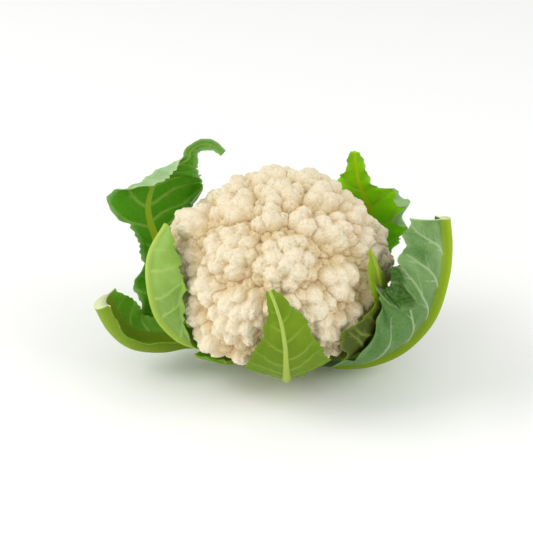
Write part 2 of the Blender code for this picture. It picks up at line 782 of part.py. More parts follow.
def build_cauliflower():
    for obj in list(bpy.data.objects):
        bpy.data.objects.remove(obj)
    parts = bpy.data.collections.new("cauliflower")
    cutters = bpy.data.collections.new("cutters")
    bpy.context.scene.collection.children.link(parts)
    bpy.context.scene.collection.children.link(cutters)
    ivory = material("curd_ivory", (0.84, 0.74, 0.55), 0.75)
    pale_stem = material("stem_pale_green", (0.62, 0.68, 0.36), 0.6)
    dark_green = material("leaf_dark_green", (0.10, 0.30, 0.05), 0.45)
    light_green = material("leaf_light_green", (0.34, 0.56, 0.10), 0.45)

    curd_seat = make_cutter(STEM_TOP_RADIUS + 0.004, STEM_HEIGHT + GAP, cutters, "curd_seat")
    stem_room = turned(
        "stem_room",
        [(0.0, STEM_HEIGHT + 0.01)]
        + [(r + GAP, z) for r, z in stem_profile()[1:-1]]
        + [(STEM_CUT_RADIUS + GAP, -0.005), (0.0, -0.005)],
        cutters,
    )
    stem_room.hide_render = True
    stem_room.display_type = "WIRE"
    make_curd(parts, ivory, curd_seat)
    stem = turned("stem", stem_profile(), parts)
    stem.data.materials.append(pale_stem)
    for name, leaf in LEAVES.items():
        make_leaf(name, leaf, parts, light_green if leaf.get("young") else dark_green, stem_room)


build_cauliflower()
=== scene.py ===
# %% [markdown]
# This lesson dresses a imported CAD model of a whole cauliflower: a domed curd of florets, a short cut stem
# and eleven trimmed leaves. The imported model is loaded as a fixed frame, and each of its nodes is replaced
# by a finer piece that stands in the same place. Everything is in metres, +Z is up, the stem's cut face
# stands on the ground at the origin, and the viewer looks from -Y.

import math
import random

import bmesh
import bpy
import numpy as np
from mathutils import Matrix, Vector, noise


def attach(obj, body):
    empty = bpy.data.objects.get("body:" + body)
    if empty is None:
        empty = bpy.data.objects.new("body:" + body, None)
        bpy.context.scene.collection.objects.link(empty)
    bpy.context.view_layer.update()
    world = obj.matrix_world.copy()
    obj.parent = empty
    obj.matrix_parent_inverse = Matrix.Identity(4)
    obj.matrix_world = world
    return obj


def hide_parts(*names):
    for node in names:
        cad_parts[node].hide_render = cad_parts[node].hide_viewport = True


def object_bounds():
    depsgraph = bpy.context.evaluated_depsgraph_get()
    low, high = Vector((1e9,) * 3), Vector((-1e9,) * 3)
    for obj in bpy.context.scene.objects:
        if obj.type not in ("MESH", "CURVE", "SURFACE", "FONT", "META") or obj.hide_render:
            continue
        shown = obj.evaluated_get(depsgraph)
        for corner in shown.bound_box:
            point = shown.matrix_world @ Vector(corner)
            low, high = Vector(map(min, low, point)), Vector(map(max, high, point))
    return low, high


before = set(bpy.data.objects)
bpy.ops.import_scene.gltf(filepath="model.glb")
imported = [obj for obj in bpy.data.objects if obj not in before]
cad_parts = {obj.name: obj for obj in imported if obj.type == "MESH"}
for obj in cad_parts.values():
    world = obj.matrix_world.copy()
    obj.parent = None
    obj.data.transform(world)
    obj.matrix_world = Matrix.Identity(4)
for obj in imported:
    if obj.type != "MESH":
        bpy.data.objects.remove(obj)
cad_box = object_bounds()
print("nodes:", sorted(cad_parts))

# %% [markdown]
# The camera looks down at the head from the front. The curd is 160 mm wide and fills 232 of the picture's
# 533 pixels, so a pixel is 0.69 mm at the curd, and the lens follows from that and from the distance.
# A long distance keeps the near leaves from looking larger than they are.

# %% The camera
PIXEL = 0.00069
PICTURE_SIDE = 533
VIEW_DISTANCE = 1.10
VIEW_ELEVATION = math.radians(28)
SENSOR = 36.0
PICTURE_MIDDLE = (-15.5 * PIXEL, -1.5 * PIXEL)

back = Vector((0, -math.cos(VIEW_ELEVATION), math.sin(VIEW_ELEVATION)))
upward = Vector((0, math.sin(VIEW_ELEVATION), math.cos(VIEW_ELEVATION)))
aim = Vector((-0.002, -0.008, 0.080)) + Vector((PICTURE_MIDDLE[0], 0, 0)) + upward * PICTURE_MIDDLE[1]
bpy.ops.object.select_all(action="DESELECT")
bpy.ops.object.camera_add(location=aim + back * VIEW_DISTANCE)
camera = bpy.context.object
camera.rotation_mode = "QUATERNION"
camera.rotation_quaternion = (-back).to_track_quat("-Z", "Y")
camera.data.sensor_width = SENSOR
camera.data.lens = SENSOR * VIEW_DISTANCE / (PICTURE_SIDE * PIXEL)
bpy.context.scene.camera = camera
print("lens", round(camera.data.lens, 1), "mm")

# %% [markdown]
# A few small helpers come first. Colours are written as sRGB hex values, as a paint chart gives them, and
# one function turns them to the linear values that the shaders take. Another adds a node with its settings
# and links, so that a material reads as a list. Positions are kept in numpy arrays, because the curd and the
# leaves have tens of thousands of points each. The smoothstep function eases from 0 at low to 1 at high.

# %% Helpers
def linear(hex_colour):
    """An sRGB hex colour as linear red, green, blue and alpha."""
    channels = [int(hex_colour[i : i + 2], 16) / 255 for i in (1, 3, 5)]
    return tuple(c / 12.92 if c <= 0.04045 else ((c + 0.055) / 1.055) ** 2.4 for c in channels) + (1.0,)


def add(tree, kind, settings=None, links=None):
    """Adds a shader node, gives it its settings, by name or socket number, and links its inputs."""
    node = tree.nodes.new("ShaderNode" + kind)
    for key, value in (settings or {}).items():
        if isinstance(key, str) and hasattr(node, key):
            setattr(node, key, value)
        else:
            node.inputs[key].default_value = value
    for key, socket in (links or {}).items():
        tree.links.new(socket, node.inputs[key])
    return node


def new_material(name, settings):
    """A new material, its node tree and its Principled shader, with these constants on the shader."""
    made = bpy.data.materials.new(name)
    made.use_nodes = True
    shader = made.node_tree.nodes["Principled BSDF"]
    for key, value in settings.items():
        shader.inputs[key].default_value = value
    return made, made.node_tree, shader


def link_finish(tree, shader, colour, relief):
    """Links a finish's colour and its relief to the shader."""
    tree.links.new(colour.outputs[2], shader.inputs["Base Color"])
    tree.links.new(relief.outputs["Normal"], shader.inputs["Normal"])


def smoothstep(low, high, x):
    s = np.clip((x - low) / (high - low), 0.0, 1.0)
    return s * s * (3 - 2 * s)


def unit(v):
    return v / np.linalg.norm(v, axis=-1, keepdims=True)


def places_of(mesh):
    """The mesh's points as an array."""
    flat = np.empty(len(mesh.vertices) * 3, np.float32)
    mesh.vertices.foreach_get("co", flat)
    return flat.reshape(-1, 3).astype(float)


def put(mesh, points):
    """Moves the mesh's points to these places."""
    mesh.vertices.foreach_set("co", np.asarray(points, np.float32).ravel())
    mesh.update()


def store(mesh, name, values):
    """Keeps one number, or one vector, for each point, for the material to read."""
    values = np.asarray(values, np.float32)
    kind, key = ("FLOAT", "value") if values.ndim == 1 else ("FLOAT_VECTOR", "vector")
    mesh.attributes.new(name, kind, "POINT").data.foreach_set(key, values.ravel())


def apply(obj, kind, **settings):
    """Adds a modifier to the piece with its settings, and applies it."""
    bpy.ops.object.select_all(action="DESELECT")
    bpy.context.view_layer.objects.active = obj
    obj.select_set(True)
    modifier = obj.modifiers.new(kind.lower(), kind)
    for key, value in settings.items():
        setattr(modifier, key, value)
    bpy.ops.object.modifier_apply(modifier=modifier.name)


def outwards(obj):
    """Turns every face of a closed piece outwards, and says how many triangles and which box it has."""
    build = bmesh.new()
    build.from_mesh(obj.data)
    if build.calc_volume(signed=True) < 0:
        bmesh.ops.reverse_faces(build, faces=build.faces[:])
        build.to_mesh(obj.data)
    triangles = sum(len(face.verts) - 2 for face in build.faces)
    open_edges = sum(not edge.is_manifold for edge in build.edges)
    build.free()
    co = places_of(obj.data) * 1000
    box = co.min(0).round(1), co.max(0).round(1)
    print(obj.name, triangles, "triangles,", open_edges, "open edges, mm", *box)


def finish_piece(obj, node):
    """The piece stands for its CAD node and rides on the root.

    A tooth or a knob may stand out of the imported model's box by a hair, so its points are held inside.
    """
    put(obj.data, np.clip(places_of(obj.data), *cad_box))
    obj.data.shade_smooth()
    outwards(obj)
    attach(obj, "root")
    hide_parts(node)


# %% [markdown]
# The curd is a star-shaped body: seen from its middle, each direction has one distance to the surface. So it
# can start as a ball, and each point only moves in or out. The smooth skin over the florets is a ball that
# is flattened along the curd's axis and drawn in below, where the florets end and the branches show. The
# axis leans towards the viewer, and a few bulges and dents make it as uneven as the real head. These are the
# CAD model's own values.

# %% The curd's envelope
CURD_WIDTH = 0.160
CURD_RISE = 0.0635
CURD_CENTRE = np.array([-0.002, -0.008, 0.079])
CURD_TILT = math.radians(22)
CURD_AXIS = np.array([0.0, -math.sin(CURD_TILT), math.cos(CURD_TILT)])
UNDERSIDE_RADIUS = 0.050
UNDERSIDE_ROOM = 0.002
FLORET_LIMIT = math.radians(112)
UNDERSIDE_START = math.radians(104)
UNDERSIDE_END = math.radians(130)
BULGES = [
    (76, 168, 0.0095, 17),
    (64, 141, -0.0035, 14),
    (69, 38, -0.0035, 16),
    (107, -126, 0.0078, 17),
]
STEM_HEIGHT = 0.036
GAP = 0.0003
GOLDEN_ANGLE = math.pi * (3 - math.sqrt(5))
SEED = 7


def curd_direction(polar, azimuth):
    across = np.array([1.0, 0.0, 0.0])
    flat = math.cos(azimuth) * across + math.sin(azimuth) * np.cross(CURD_AXIS, across)
    return math.sin(polar) * flat + math.cos(polar) * CURD_AXIS


def under_share(directions):
    """0 on the florets and 1 on the branches under them."""
    return smoothstep(UNDERSIDE_START, UNDERSIDE_END, np.arccos(np.clip(directions @ CURD_AXIS, -1, 1)))


def envelope(directions):
    rise = directions @ CURD_AXIS
    flat = np.clip(1 - rise * rise, 0, 1)
    dome = 1 / np.sqrt(flat / (CURD_WIDTH / 2) ** 2 + rise**2 / CURD_RISE**2)
    under = under_share(directions)
    skin = dome * (1 - under) + (UNDERSIDE_RADIUS + UNDERSIDE_ROOM) * under
    for polar, azimuth, height, spread in BULGES:
        middle = curd_direction(math.radians(polar), math.radians(azimuth))
        away = np.arccos(np.clip(directions @ middle, -1, 1)) / math.radians(spread)
        skin = skin + height * np.exp(-(away**2))
    return skin


print("crown", (CURD_CENTRE + CURD_AXIS * CURD_RISE).round(4))

# %% [markdown]
# A real curd is built the same way at each size: large florets, lobes on each floret, knobs on each lobe and
# fine buds on each knob. The florets of the front are placed one by one as on the real head, and smaller
# ones fill the rest on a golden-angle spiral, as a plant places its buds. The first three stand a few
# degrees off the CAD model's places, as in the photograph. A lobe is kept where its own floret is nearest.
# A seeded generator keeps the result the same each time.

# %% Florets and their lobes
LOBE_RADIUS = 0.0066
LOBE_SCATTER = 0.0013
LOBE_CROWDING = 1.2
LOBE_SIZES = (0.6, 0.95)
RIM_LOBE_SIZE = (1.1, 0.13)
SMALL_FLORET_RADII = (0.0115, 0.0165)
SPIRAL_PLACES = 420
FLORET_ROOM = 0.84
KNOB_DEPTH = 0.0075
FLORET_SINK = 0.42
DEEPEST_SINK = 0.0082
RIM_SHARE = 1.45
FRONT_FLORETS = [
    (37, -86, 0.0285),
    (45, -149, 0.026),
    (77, -118, 0.0285),
    (22, 95, 0.021),
    (10, -160, 0.013),
    (15, -24, 0.010),
    (37, -14, 0.0185),
    (62, -8, 0.016),
    (60, -46, 0.015),
    (66, -70, 0.014),
    (82, -66, 0.017),
    (37, 158, 0.018),
    (66, 166, 0.015),
    (76, -167, 0.015),
    (37, 40, 0.016),
    (56, 133, 0.016),
    (96, -92, 0.016),
    (82, -28, 0.015),
    (86, -47, 0.013),
    (101, -133, 0.015),
]


def all_florets(dice):
    florets = [(curd_direction(math.radians(p), math.radians(a)), r) for p, a, r in FRONT_FLORETS]
    for i in range(SPIRAL_PLACES):
        polar = math.acos(1 - (i + 0.5) / SPIRAL_PLACES * (1 - math.cos(FLORET_LIMIT)))
        direction = curd_direction(polar, i * GOLDEN_ANGLE)
        radius = dice.uniform(*SMALL_FLORET_RADII)
        reach = float(envelope(direction))
        room = min(math.acos(min(1.0, direction @ d)) * reach / (radius + r) for d, r in florets)
        if room > FLORET_ROOM:
            florets.append((direction, radius))
    return florets


def own_place(place, direction, radius, florets):
    """Whether this floret is the nearest one to the place, for its size."""
    away = [math.acos(min(1.0, float(place @ d))) / r for d, r in florets]
    return math.acos(min(1.0, float(place @ direction))) / radius <= min(away) + 1e-6


def lobes_of(direction, radius, florets, dice):
    """The rounded lobes of one floret, as directions, heights and radii, lower towards the floret's rim."""
    side = unit(np.cross(direction, [0.31, 0.95, 0.02]))
    up = np.cross(direction, side)
    reach = float(envelope(direction))
    count = max(7, round((radius * RIM_SHARE / LOBE_RADIUS) ** 2 * LOBE_CROWDING))
    turn = dice.uniform(0, math.tau)
    found = []
    for j in range(count):
        share = math.sqrt((j + 0.35) / count) * RIM_SHARE
        angle = j * GOLDEN_ANGLE + turn
        spread = share * radius / reach
        out = math.cos(angle) * side + math.sin(angle) * up
        towards = math.cos(spread) * direction + math.sin(spread) * out
        size = LOBE_RADIUS * dice.uniform(*LOBE_SIZES) * (RIM_LOBE_SIZE[0] - RIM_LOBE_SIZE[1] * share)
        sink = min(DEEPEST_SINK, radius * FLORET_SINK * share**3) + dice.uniform(0, LOBE_SCATTER)
        if own_place(towards, direction, radius, florets):
            found.append((towards, float(envelope(towards)) - sink, size))
    return found


seeded = random.Random(SEED)
placed = all_florets(seeded)
florets = [(direction, radius, lobes_of(direction, radius, placed, seeded)) for direction, radius in placed]
print(len(florets), "florets,", sum(len(lobes) for _, _, lobes in florets), "lobes")

# %% [markdown]
# Lobes of one floret grow into each other, so their tops are joined softly: the exponential sum below
# rounds the valley between two of them. Florets only press against each other, so between them the higher
# one simply wins, which leaves a sharp crevice with a lumpy floor. Cells of two Voronoi patterns raise the
# knobs and the buds.

# %% The curd's surface
LOBE_BLEND = 0.0003
KNOB_SPACING = 0.0048
KNOB_DROP = 0.0024
BUD_SPACING = 0.0024
BUD_DROP = 0.0014
CREVICE_WIDTH = 0.0012
NEAR_SHARE = 1.95
FLOOR_SINK = 0.0040
FLOOR_LUMPS = 0.0085
FLOOR_DROP = 0.0028


def floret_surface(directions, lobes):
    """The height of one floret's joined lobes along each direction."""
    total = np.zeros(len(directions))
    for towards, top, size in lobes:
        away = np.arccos(np.clip(directions @ towards, -1, 1)) * top
        total += np.exp((top - away**2 / (2 * size) - CURD_RISE) / LOBE_BLEND)
    return CURD_RISE + LOBE_BLEND * np.log(total + 1e-300)


def knobs(directions, spacing, drop):
    """How far the surface drops between the knobs of a cell pattern with this spacing."""
    scale = CURD_WIDTH / 2 / spacing
    near = np.array([noise.voronoi(Vector(d) * scale)[0][0] for d in directions])
    return drop * near**2


def curd_surface(directions):
    """The curd's radius along each direction, and how near a crevice between florets is, from 0 to 1."""
    reach = envelope(directions)
    best = np.full(len(directions), 0.0)
    second = np.full(len(directions), 0.0)
    for direction, radius, lobes in florets:
        near = np.nonzero(directions @ direction > math.cos(NEAR_SHARE * radius / CURD_RISE))[0]
        height = floret_surface(directions[near], lobes)
        second[near] = np.maximum(second[near], np.minimum(best[near], height))
        best[near] = np.maximum(best[near], height)
    under = under_share(directions)
    floor = reach - KNOB_DEPTH - FLOOR_SINK - knobs(directions + 1.5, FLOOR_LUMPS, FLOOR_DROP)
    crevice = np.exp(-(best - np.maximum(second, floor)) / CREVICE_WIDTH)
    radius = np.maximum(best, floor)
    radius -= knobs(directions, KNOB_SPACING, KNOB_DROP) + knobs(directions + 3.0, BUD_SPACING, BUD_DROP)
    radius = radius * (1 - under) + UNDERSIDE_RADIUS * under
    return np.minimum(radius, reach), crevice * (1 - under)


# %% [markdown]
# The ball is an icosphere, because its triangles are nearly the same size everywhere. Once its points are
# moved, Decimate takes out those that lie on flat places, which keeps the piece below 200,000 triangles.

# %% The curd
CURD_SUBDIVISIONS = 8
CURD_TRIANGLES = 190000

bpy.ops.object.select_all(action="DESELECT")
bpy.ops.mesh.primitive_ico_sphere_add(subdivisions=CURD_SUBDIVISIONS, radius=1)
curd = bpy.context.object
curd.name = "curd_of_florets"
rays = unit(places_of(curd.data))
put(curd.data, CURD_CENTRE + rays * curd_surface(rays)[0][:, None])
apply(curd, "DECIMATE", ratio=CURD_TRIANGLES / len(curd.data.polygons))
points = places_of(curd.data)
rays = unit(points - CURD_CENTRE)
# The crevice and depth shares kept here steer the painted shade of the curd's finish.
store(curd.data, "crevice", curd_surface(rays)[1])
store(curd.data, "depth", (envelope(rays) - np.linalg.norm(points - CURD_CENTRE, axis=1)) / KNOB_DEPTH)
store(curd.data, "under", under_share(rays))
points[:, 2] = np.maximum(points[:, 2], STEM_HEIGHT + GAP)
put(curd.data, points)
finish_piece(curd, "curd")

# %% [markdown]
# The cut stem carries everything. A grower's knife leaves a flat round face, and above it the stalk is ribbed
# and swells where the leaves grew. It is drawn from one circle by extruding and resizing it ring by ring, as
# one would by hand, and its two ends are closed by insets that can carry the bark ring and the pith.

# %% The cut stem
STEM_CUT_RADIUS = 0.0195
STEM_WAIST_RADIUS = 0.021
STEM_TOP_RADIUS = 0.025
STEM_SIDES = 96
STEM_RINGS = [
    (STEM_CUT_RADIUS, 0.0),
    (STEM_CUT_RADIUS + 0.0008, 0.0012),
    (STEM_WAIST_RADIUS, STEM_HEIGHT * 0.15),
    (STEM_WAIST_RADIUS, STEM_HEIGHT * 0.35),
    (STEM_WAIST_RADIUS + 0.001, STEM_HEIGHT * 0.55),
    (STEM_TOP_RADIUS - 0.002, STEM_HEIGHT * 0.75),
    (STEM_TOP_RADIUS, STEM_HEIGHT - 0.001),
    (STEM_TOP_RADIUS - 0.001, STEM_HEIGHT),
]
CUT_INSETS = (0.0022, 0.0012, 0.006, 0.006)


def stem_radius(height):
    return np.interp(height, [z for _, z in STEM_RINGS], [r for r, _ in STEM_RINGS])


bpy.ops.object.select_all(action="DESELECT")
bpy.ops.mesh.primitive_circle_add(vertices=STEM_SIDES, radius=STEM_CUT_RADIUS, location=(0, 0, 0))
stem = bpy.context.object
stem.name = "cut_stem"
bpy.ops.object.mode_set(mode="EDIT")
bpy.ops.mesh.select_all(action="SELECT")
for (before, low), (after, high) in zip(STEM_RINGS, STEM_RINGS[1:]):
    bpy.ops.mesh.extrude_region_move(TRANSFORM_OT_translate={"value": (0, 0, high - low)})
    bpy.ops.transform.resize(value=(after / before, after / before, 1), center_override=(0, 0, high))
bpy.ops.object.mode_set(mode="OBJECT")
print("rings", len(stem.data.vertices) // STEM_SIDES)

# %% The stem's two ends
build = bmesh.new()
build.from_mesh(stem.data)
for height in (0.0, STEM_HEIGHT):
    rim = [edge for edge in build.edges if all(abs(v.co.z - height) < 1e-5 for v in edge.verts)]
    face = bmesh.ops.contextual_create(build, geom=rim)["faces"][0]
    for width in CUT_INSETS:
        bmesh.ops.inset_region(build, faces=[face], thickness=width)
bmesh.ops.recalc_face_normals(build, faces=build.faces[:])
build.to_mesh(stem.data)
build.free()
apply(stem, "SUBSURF", levels=1, render_levels=1, subdivision_type="SIMPLE")

# %% [markdown]
# Fine ribs run up the stalk, deepest at its waist, and the points of the cut face stay on the ground.

# %% The stalk's ribs
STALK_RIBS = 13
STALK_RIB_DEPTH = 0.0005
FINE_STALK_RIBS = 29

points = places_of(stem.data)
around = np.arctan2(points[:, 1], points[:, 0])
height = points[:, 2] / STEM_HEIGHT
reach = np.linalg.norm(points[:, :2], axis=1)
wavy = np.sin(STALK_RIBS * around + 2.0 * height) + 0.5 * np.sin(FINE_STALK_RIBS * around)
rib = STALK_RIB_DEPTH * (wavy - 1.5) * smoothstep(0.0, 0.3, height) * smoothstep(1.0, 0.7, height)
points[:, :2] *= (1 + rib / np.maximum(reach, 0.01))[:, None]
put(stem.data, points)
store(stem.data, "cut", smoothstep(0.0003, 0.0, points[:, 2]))
finish_piece(stem, "stem")

# %% [markdown]
# A leaf is a blade on a thick pale rib. It starts as a flat grid, and each row of the grid is laid across the
# rib's curve: its two halves start flat and turn towards the curd as they run out, and a margin may roll
# over. The leaf tables say how. They are the CAD model's tables, read on a finer grid, and in some leaves
# they are refined by up to 15 mm from the photograph. A row of an outline has the share of the leaf's
# length, the two widths and the two curls in degrees, and where a margin rolls over, the two rolls.

# %% Curves and tables
LEAF_CLEARANCE = 0.0016
WING = 0.0014
STEM_COVER = 0.0008


def smooth_path(points, fractions):
    """Places and directions along a smooth curve through the points, at shares of its length."""
    p = np.array(points, float)
    p = np.vstack([2 * p[0] - p[1], p, 2 * p[-1] - p[-2]])
    s = np.linspace(0, 1, 25)[:, None]
    pieces = []
    for a, b, c, d in zip(p, p[1:], p[2:], p[3:]):
        pieces.append(
            0.5 * (2 * b + (c - a) * s + (2 * a - 5 * b + 4 * c - d) * s**2 + (3 * b - a - 3 * c + d) * s**3)
        )
    line = np.vstack([piece[:-1] for piece in pieces] + [pieces[-1][-1:]])
    length = np.concatenate([[0], np.cumsum(np.linalg.norm(np.diff(line, axis=0), axis=1))])
    at = np.array(fractions) * length[-1]
    places = np.stack([np.interp(at, length, line[:, k]) for k in range(3)], axis=1)
    step = length[-1] * 0.01
    ahead = np.stack([np.interp(np.minimum(at + step, length[-1]), length, line[:, k]) for k in range(3)], 1)
    behind = np.stack([np.interp(np.maximum(at - step, 0), length, line[:, k]) for k in range(3)], 1)
    return places, unit(ahead - behind), length[-1]


def between(rows, fractions):
    """Columns of the leaf's outline table, read smoothly at shares of the leaf's length."""
    table = np.array(rows, float)
    t = np.array(fractions)
    k = np.clip(np.searchsorted(table[:, 0], t, side="right") - 1, 0, len(table) - 2)
    share = (t - table[k, 0]) / (table[k + 1, 0] - table[k, 0])
    share = smoothstep(0, 1, share)[:, None]
    return table[k, 1:] * (1 - share) + table[k + 1, 1:] * share


def clear_of_curd(points, clearance):
    """Moves each point that is too near straight out, so that a leaf lies on the florets."""
    away = points - CURD_CENTRE
    reach = np.linalg.norm(away, axis=-1)
    directions = away / reach[..., None]
    least = envelope(directions) + clearance
    return CURD_CENTRE + directions * np.maximum(reach, least)[..., None]


def stem_exit(rib):
    """The share of the rib's length at which it comes out of the stem."""
    shares = np.linspace(0, 0.5, 101)
    line = smooth_path(rib, shares)[0]
    inside = np.linalg.norm(line[:, :2], axis=1) < stem_radius(line[:, 2]) - STEM_COVER
    return float(shares[np.nonzero(~inside)[0][0]])


# %% [markdown]
# The margin of a cauliflower leaf is cut into small, uneven teeth, 3 to 7 mm apart. A seeded line of random
# tooth tips and notches gives them, and only the outermost columns of the grid follow it.

# %% The leaf's surface
TOOTH = 0.0014
TOOTH_SPACING = (0.0015, 0.0036)
RUFFLE = 14
RUFFLE_PACE = 3.3
WAVE_PHASES = (3.4, 1.3)
BLADE_START = (0.18, 0.34)
TOOTHED_WIDTH = 0.012
EDGE_BAND = 0.004
RIB_TAPER = 0.85
FOLD_SPREAD = 0.14
FULL_ROLL = 150
CREASE = [(0.0, 0.8, 0.8), (1.0, 0.8, 0.8)]
SWEEP = [(0.0, 0.0, 0.0), (1.0, 0.0, 0.0)]
BLADE_THICKNESS = 0.0009
MARGIN_THICKNESS = 0.0006


def serration(along, tooth, dice):
    """How far the margin stands out at each distance along the leaf."""
    knots = [0.0]
    while knots[-1] < along[-1]:
        knots.append(knots[-1] + dice.uniform(*TOOTH_SPACING))
    tips = [tooth * (dice.uniform(0.3, 1.0) if i % 2 else -dice.uniform(0.2, 0.9)) for i in range(len(knots))]
    return np.interp(along, knots, tips)


def leaf_surface(leaf, rows, rib_columns, blade_columns, dice):
    """The leaf's inner face as a grid, its thickness, and each point's distance along and across the leaf."""
    t = np.linspace(stem_exit(leaf["rib"]), 1, rows)
    rib, along, length = smooth_path(leaf["rib"], t)
    out = unit(rib - CURD_CENTRE)
    if "facing" in leaf:
        turn = smoothstep(0.2, 0.5, t)[:, None]
        out = out * (1 - turn) + unit(np.array(leaf["facing"])) * turn
    out = unit(out - (out * along).sum(1, keepdims=True) * along)
    across = np.cross(along, out)
    table = between([(*row, 0, 0)[:7] for row in leaf["outline"]], t)
    thick_base, thick_end = leaf["rib_depth"]
    half_base, half_end = leaf["rib_half_width"]
    taper = (1 - t) ** leaf.get("rib_taper", RIB_TAPER)
    rib_depth = thick_end + (thick_base - thick_end) * taper
    rib_half = half_end + (half_base - half_end) * taper
    middle = rib_columns + blade_columns
    grid = np.zeros((rows, 2 * middle + 1, 3))
    depth = np.zeros(grid.shape[:2])
    flat = np.zeros((rows, 2 * middle + 1, 2))
    edge = np.zeros(grid.shape[:2])
    flat[:, :, 1] = (t * length)[:, None]
    grid[:, middle] = rib
    depth[:, middle] = rib_depth
    grow = smoothstep(*BLADE_START, t)
    for side in (-1, 1):
        width, curl, roll = (table[:, k + (side > 0)] for k in (0, 2, 4))
        span = np.maximum(width, rib_half + WING)
        teeth = serration(t * length, leaf.get("tooth", TOOTH), dice)
        shift = teeth * grow * np.minimum(1, width / TOOTHED_WIDTH)
        phase = WAVE_PHASES[side > 0]
        wave = leaf["wave"] * np.sin(leaf["waves"] * math.tau * t + phase)
        ripples = leaf["waves"] * RUFFLE_PACE
        ruffle = leaf.get("ruffle", RUFFLE) * np.sin(ripples * math.tau * t + 2 * phase)
        crease = between(leaf.get("crease", CREASE), t)[:, int(side > 0)]
        lean = between(leaf.get("sweep", SWEEP), t)[:, int(side > 0)]
        droop = leaf.get("droop", (0.0, 0.0))[side > 0] * np.minimum(1, np.abs(roll) / FULL_ROLL)
        place = rib.copy()
        before = np.zeros(rows)
        for k in range(1, middle + 1):
            if k <= rib_columns:
                x = rib_half * (k / rib_columns) ** 0.8
            else:
                share = (k - rib_columns) / blade_columns
                x = rib_half + (span - rib_half) * share + shift * share**8
            u = (x + before) / 2 / span
            fold = smoothstep(crease - FOLD_SPREAD, crease + FOLD_SPREAD, u)
            bend = curl * u + roll * fold + (wave * u + ruffle * u**3) * grow
            angle = np.radians(bend)
            step = (x - before)[:, None]
            place = place + step * (side * np.cos(angle)[:, None] * across - np.sin(angle)[:, None] * out)
            place = place + step * (lean - droop * fold)[:, None] * along
            column = middle + side * k
            grid[:, column] = place
            flat[:, column, 0] = side * x
            edge[:, column] = 1 - np.clip((span - x) / EDGE_BAND, 0, 1)
            inside = np.sqrt(np.clip(1 - (x / rib_half) ** 2, 0, 1))
            thin = BLADE_THICKNESS + (MARGIN_THICKNESS - BLADE_THICKNESS) * np.clip(u, 0, 1) ** 2
            depth[:, column] = thin + (rib_depth - thin) * inside
            before = x
    return clear_of_curd(grid, leaf.get("clearance", LEAF_CLEARANCE)), depth, flat, edge, rib_half


# %% [markdown]
# Veins leave the rib every 10 to 17 mm, run outwards and bend towards the tip, and each throws off shorter
# ones. They are drawn as lines on the flattened leaf. Each grid point then takes its nearest line's strength,
# which raises the vein on the outer face, sinks it on the inner face and colours it.

# %% The leaf's veins
VEIN_SPACING = 0.0135
VEIN_RISE = 0.00045
VEIN_SINK = 0.00022
VEIN_TAPER = 0.00085
VEIN_END_WIDTH = 0.00035
TWIG_END_WIDTH = 0.00022
QUILT_RISE = 0.0007
QUILT_WIDTH = 0.0045
QUILT_LOSS_AT_EDGE = 0.7
RIB_SHOULDER = (1.25, 0.85)


def vein_lines(leaf, length, dice):
    """The veins on the flattened leaf, as lists of (start, end, width at start, width at end)."""
    lines = []
    table = np.array([row[:3] for row in leaf["outline"]], float)
    spacing = leaf.get("vein_spacing", VEIN_SPACING)
    for side in (-1, 1):
        y = length * 0.2 + dice.uniform(0, 0.5) * spacing
        while y < length * 0.97:
            span = float(np.interp((y + 0.01) / length, table[:, 0], table[:, 1 + (side > 0)]))
            rise = dice.uniform(0.45, 0.8)
            strong = min(1.0, 0.45 + span / 0.05)
            x = np.linspace(0, span, 9)
            ahead = y + rise * x**1.25 / span**0.25 + 0.0008 * np.sin(x / 0.004 + y * 900)
            path = np.stack([side * x, ahead], 1)
            thick = (VEIN_TAPER * (1 - np.linspace(0, 1, 9)) + VEIN_END_WIDTH) * strong
            lines += list(zip(path[:-1], path[1:], thick[:-1], thick[1:]))
            for i in range(2, 8):
                reach = span * dice.uniform(0.16, 0.3) * (1 - i / 11)
                turn = dice.uniform(0.5, 0.85) * (1 if i % 2 else -1) * side
                ahead = unit(path[i] - path[i - 1])
                cos, sin = math.cos(turn), math.sin(turn)
                ahead = np.array([ahead[0] * cos - ahead[1] * sin, ahead[0] * sin + ahead[1] * cos])
                lines.append((path[i], path[i] + ahead * reach, thick[i] * 0.6, TWIG_END_WIDTH))
            y += spacing * dice.uniform(0.75, 1.25)
    return lines


def vein_strength(flat, lines):
    """Strength of the veins and distance to the nearest one, at each point of the flattened leaf."""
    strength = np.zeros(flat.shape[:2])
    nearest = np.full(flat.shape[:2], 1.0)
    for start, end, wide, narrow in lines:
        step = end - start
        share = np.clip(((flat - start) @ step) / (step @ step), 0, 1)
        away = np.linalg.norm(flat - start - share[..., None] * step, axis=2)
        width = wide + (narrow - wide) * share
        strength = np.maximum(strength, np.exp(-((away / width) ** 2)) * np.clip(width / 0.0006, 0, 1))
        nearest = np.minimum(nearest, away)
    return strength, nearest


# %% [markdown]
# Solidify turns the grid into a closed sheet with an inner and an outer face. The points of both faces are
# then put where the thickness, the veins and the quilting between them ask for, because the rib stands out
# from the outer face only.

# %% One leaf
LARGE_GRID = (190, 8, 76)
USUAL_GRID = (140, 7, 42)


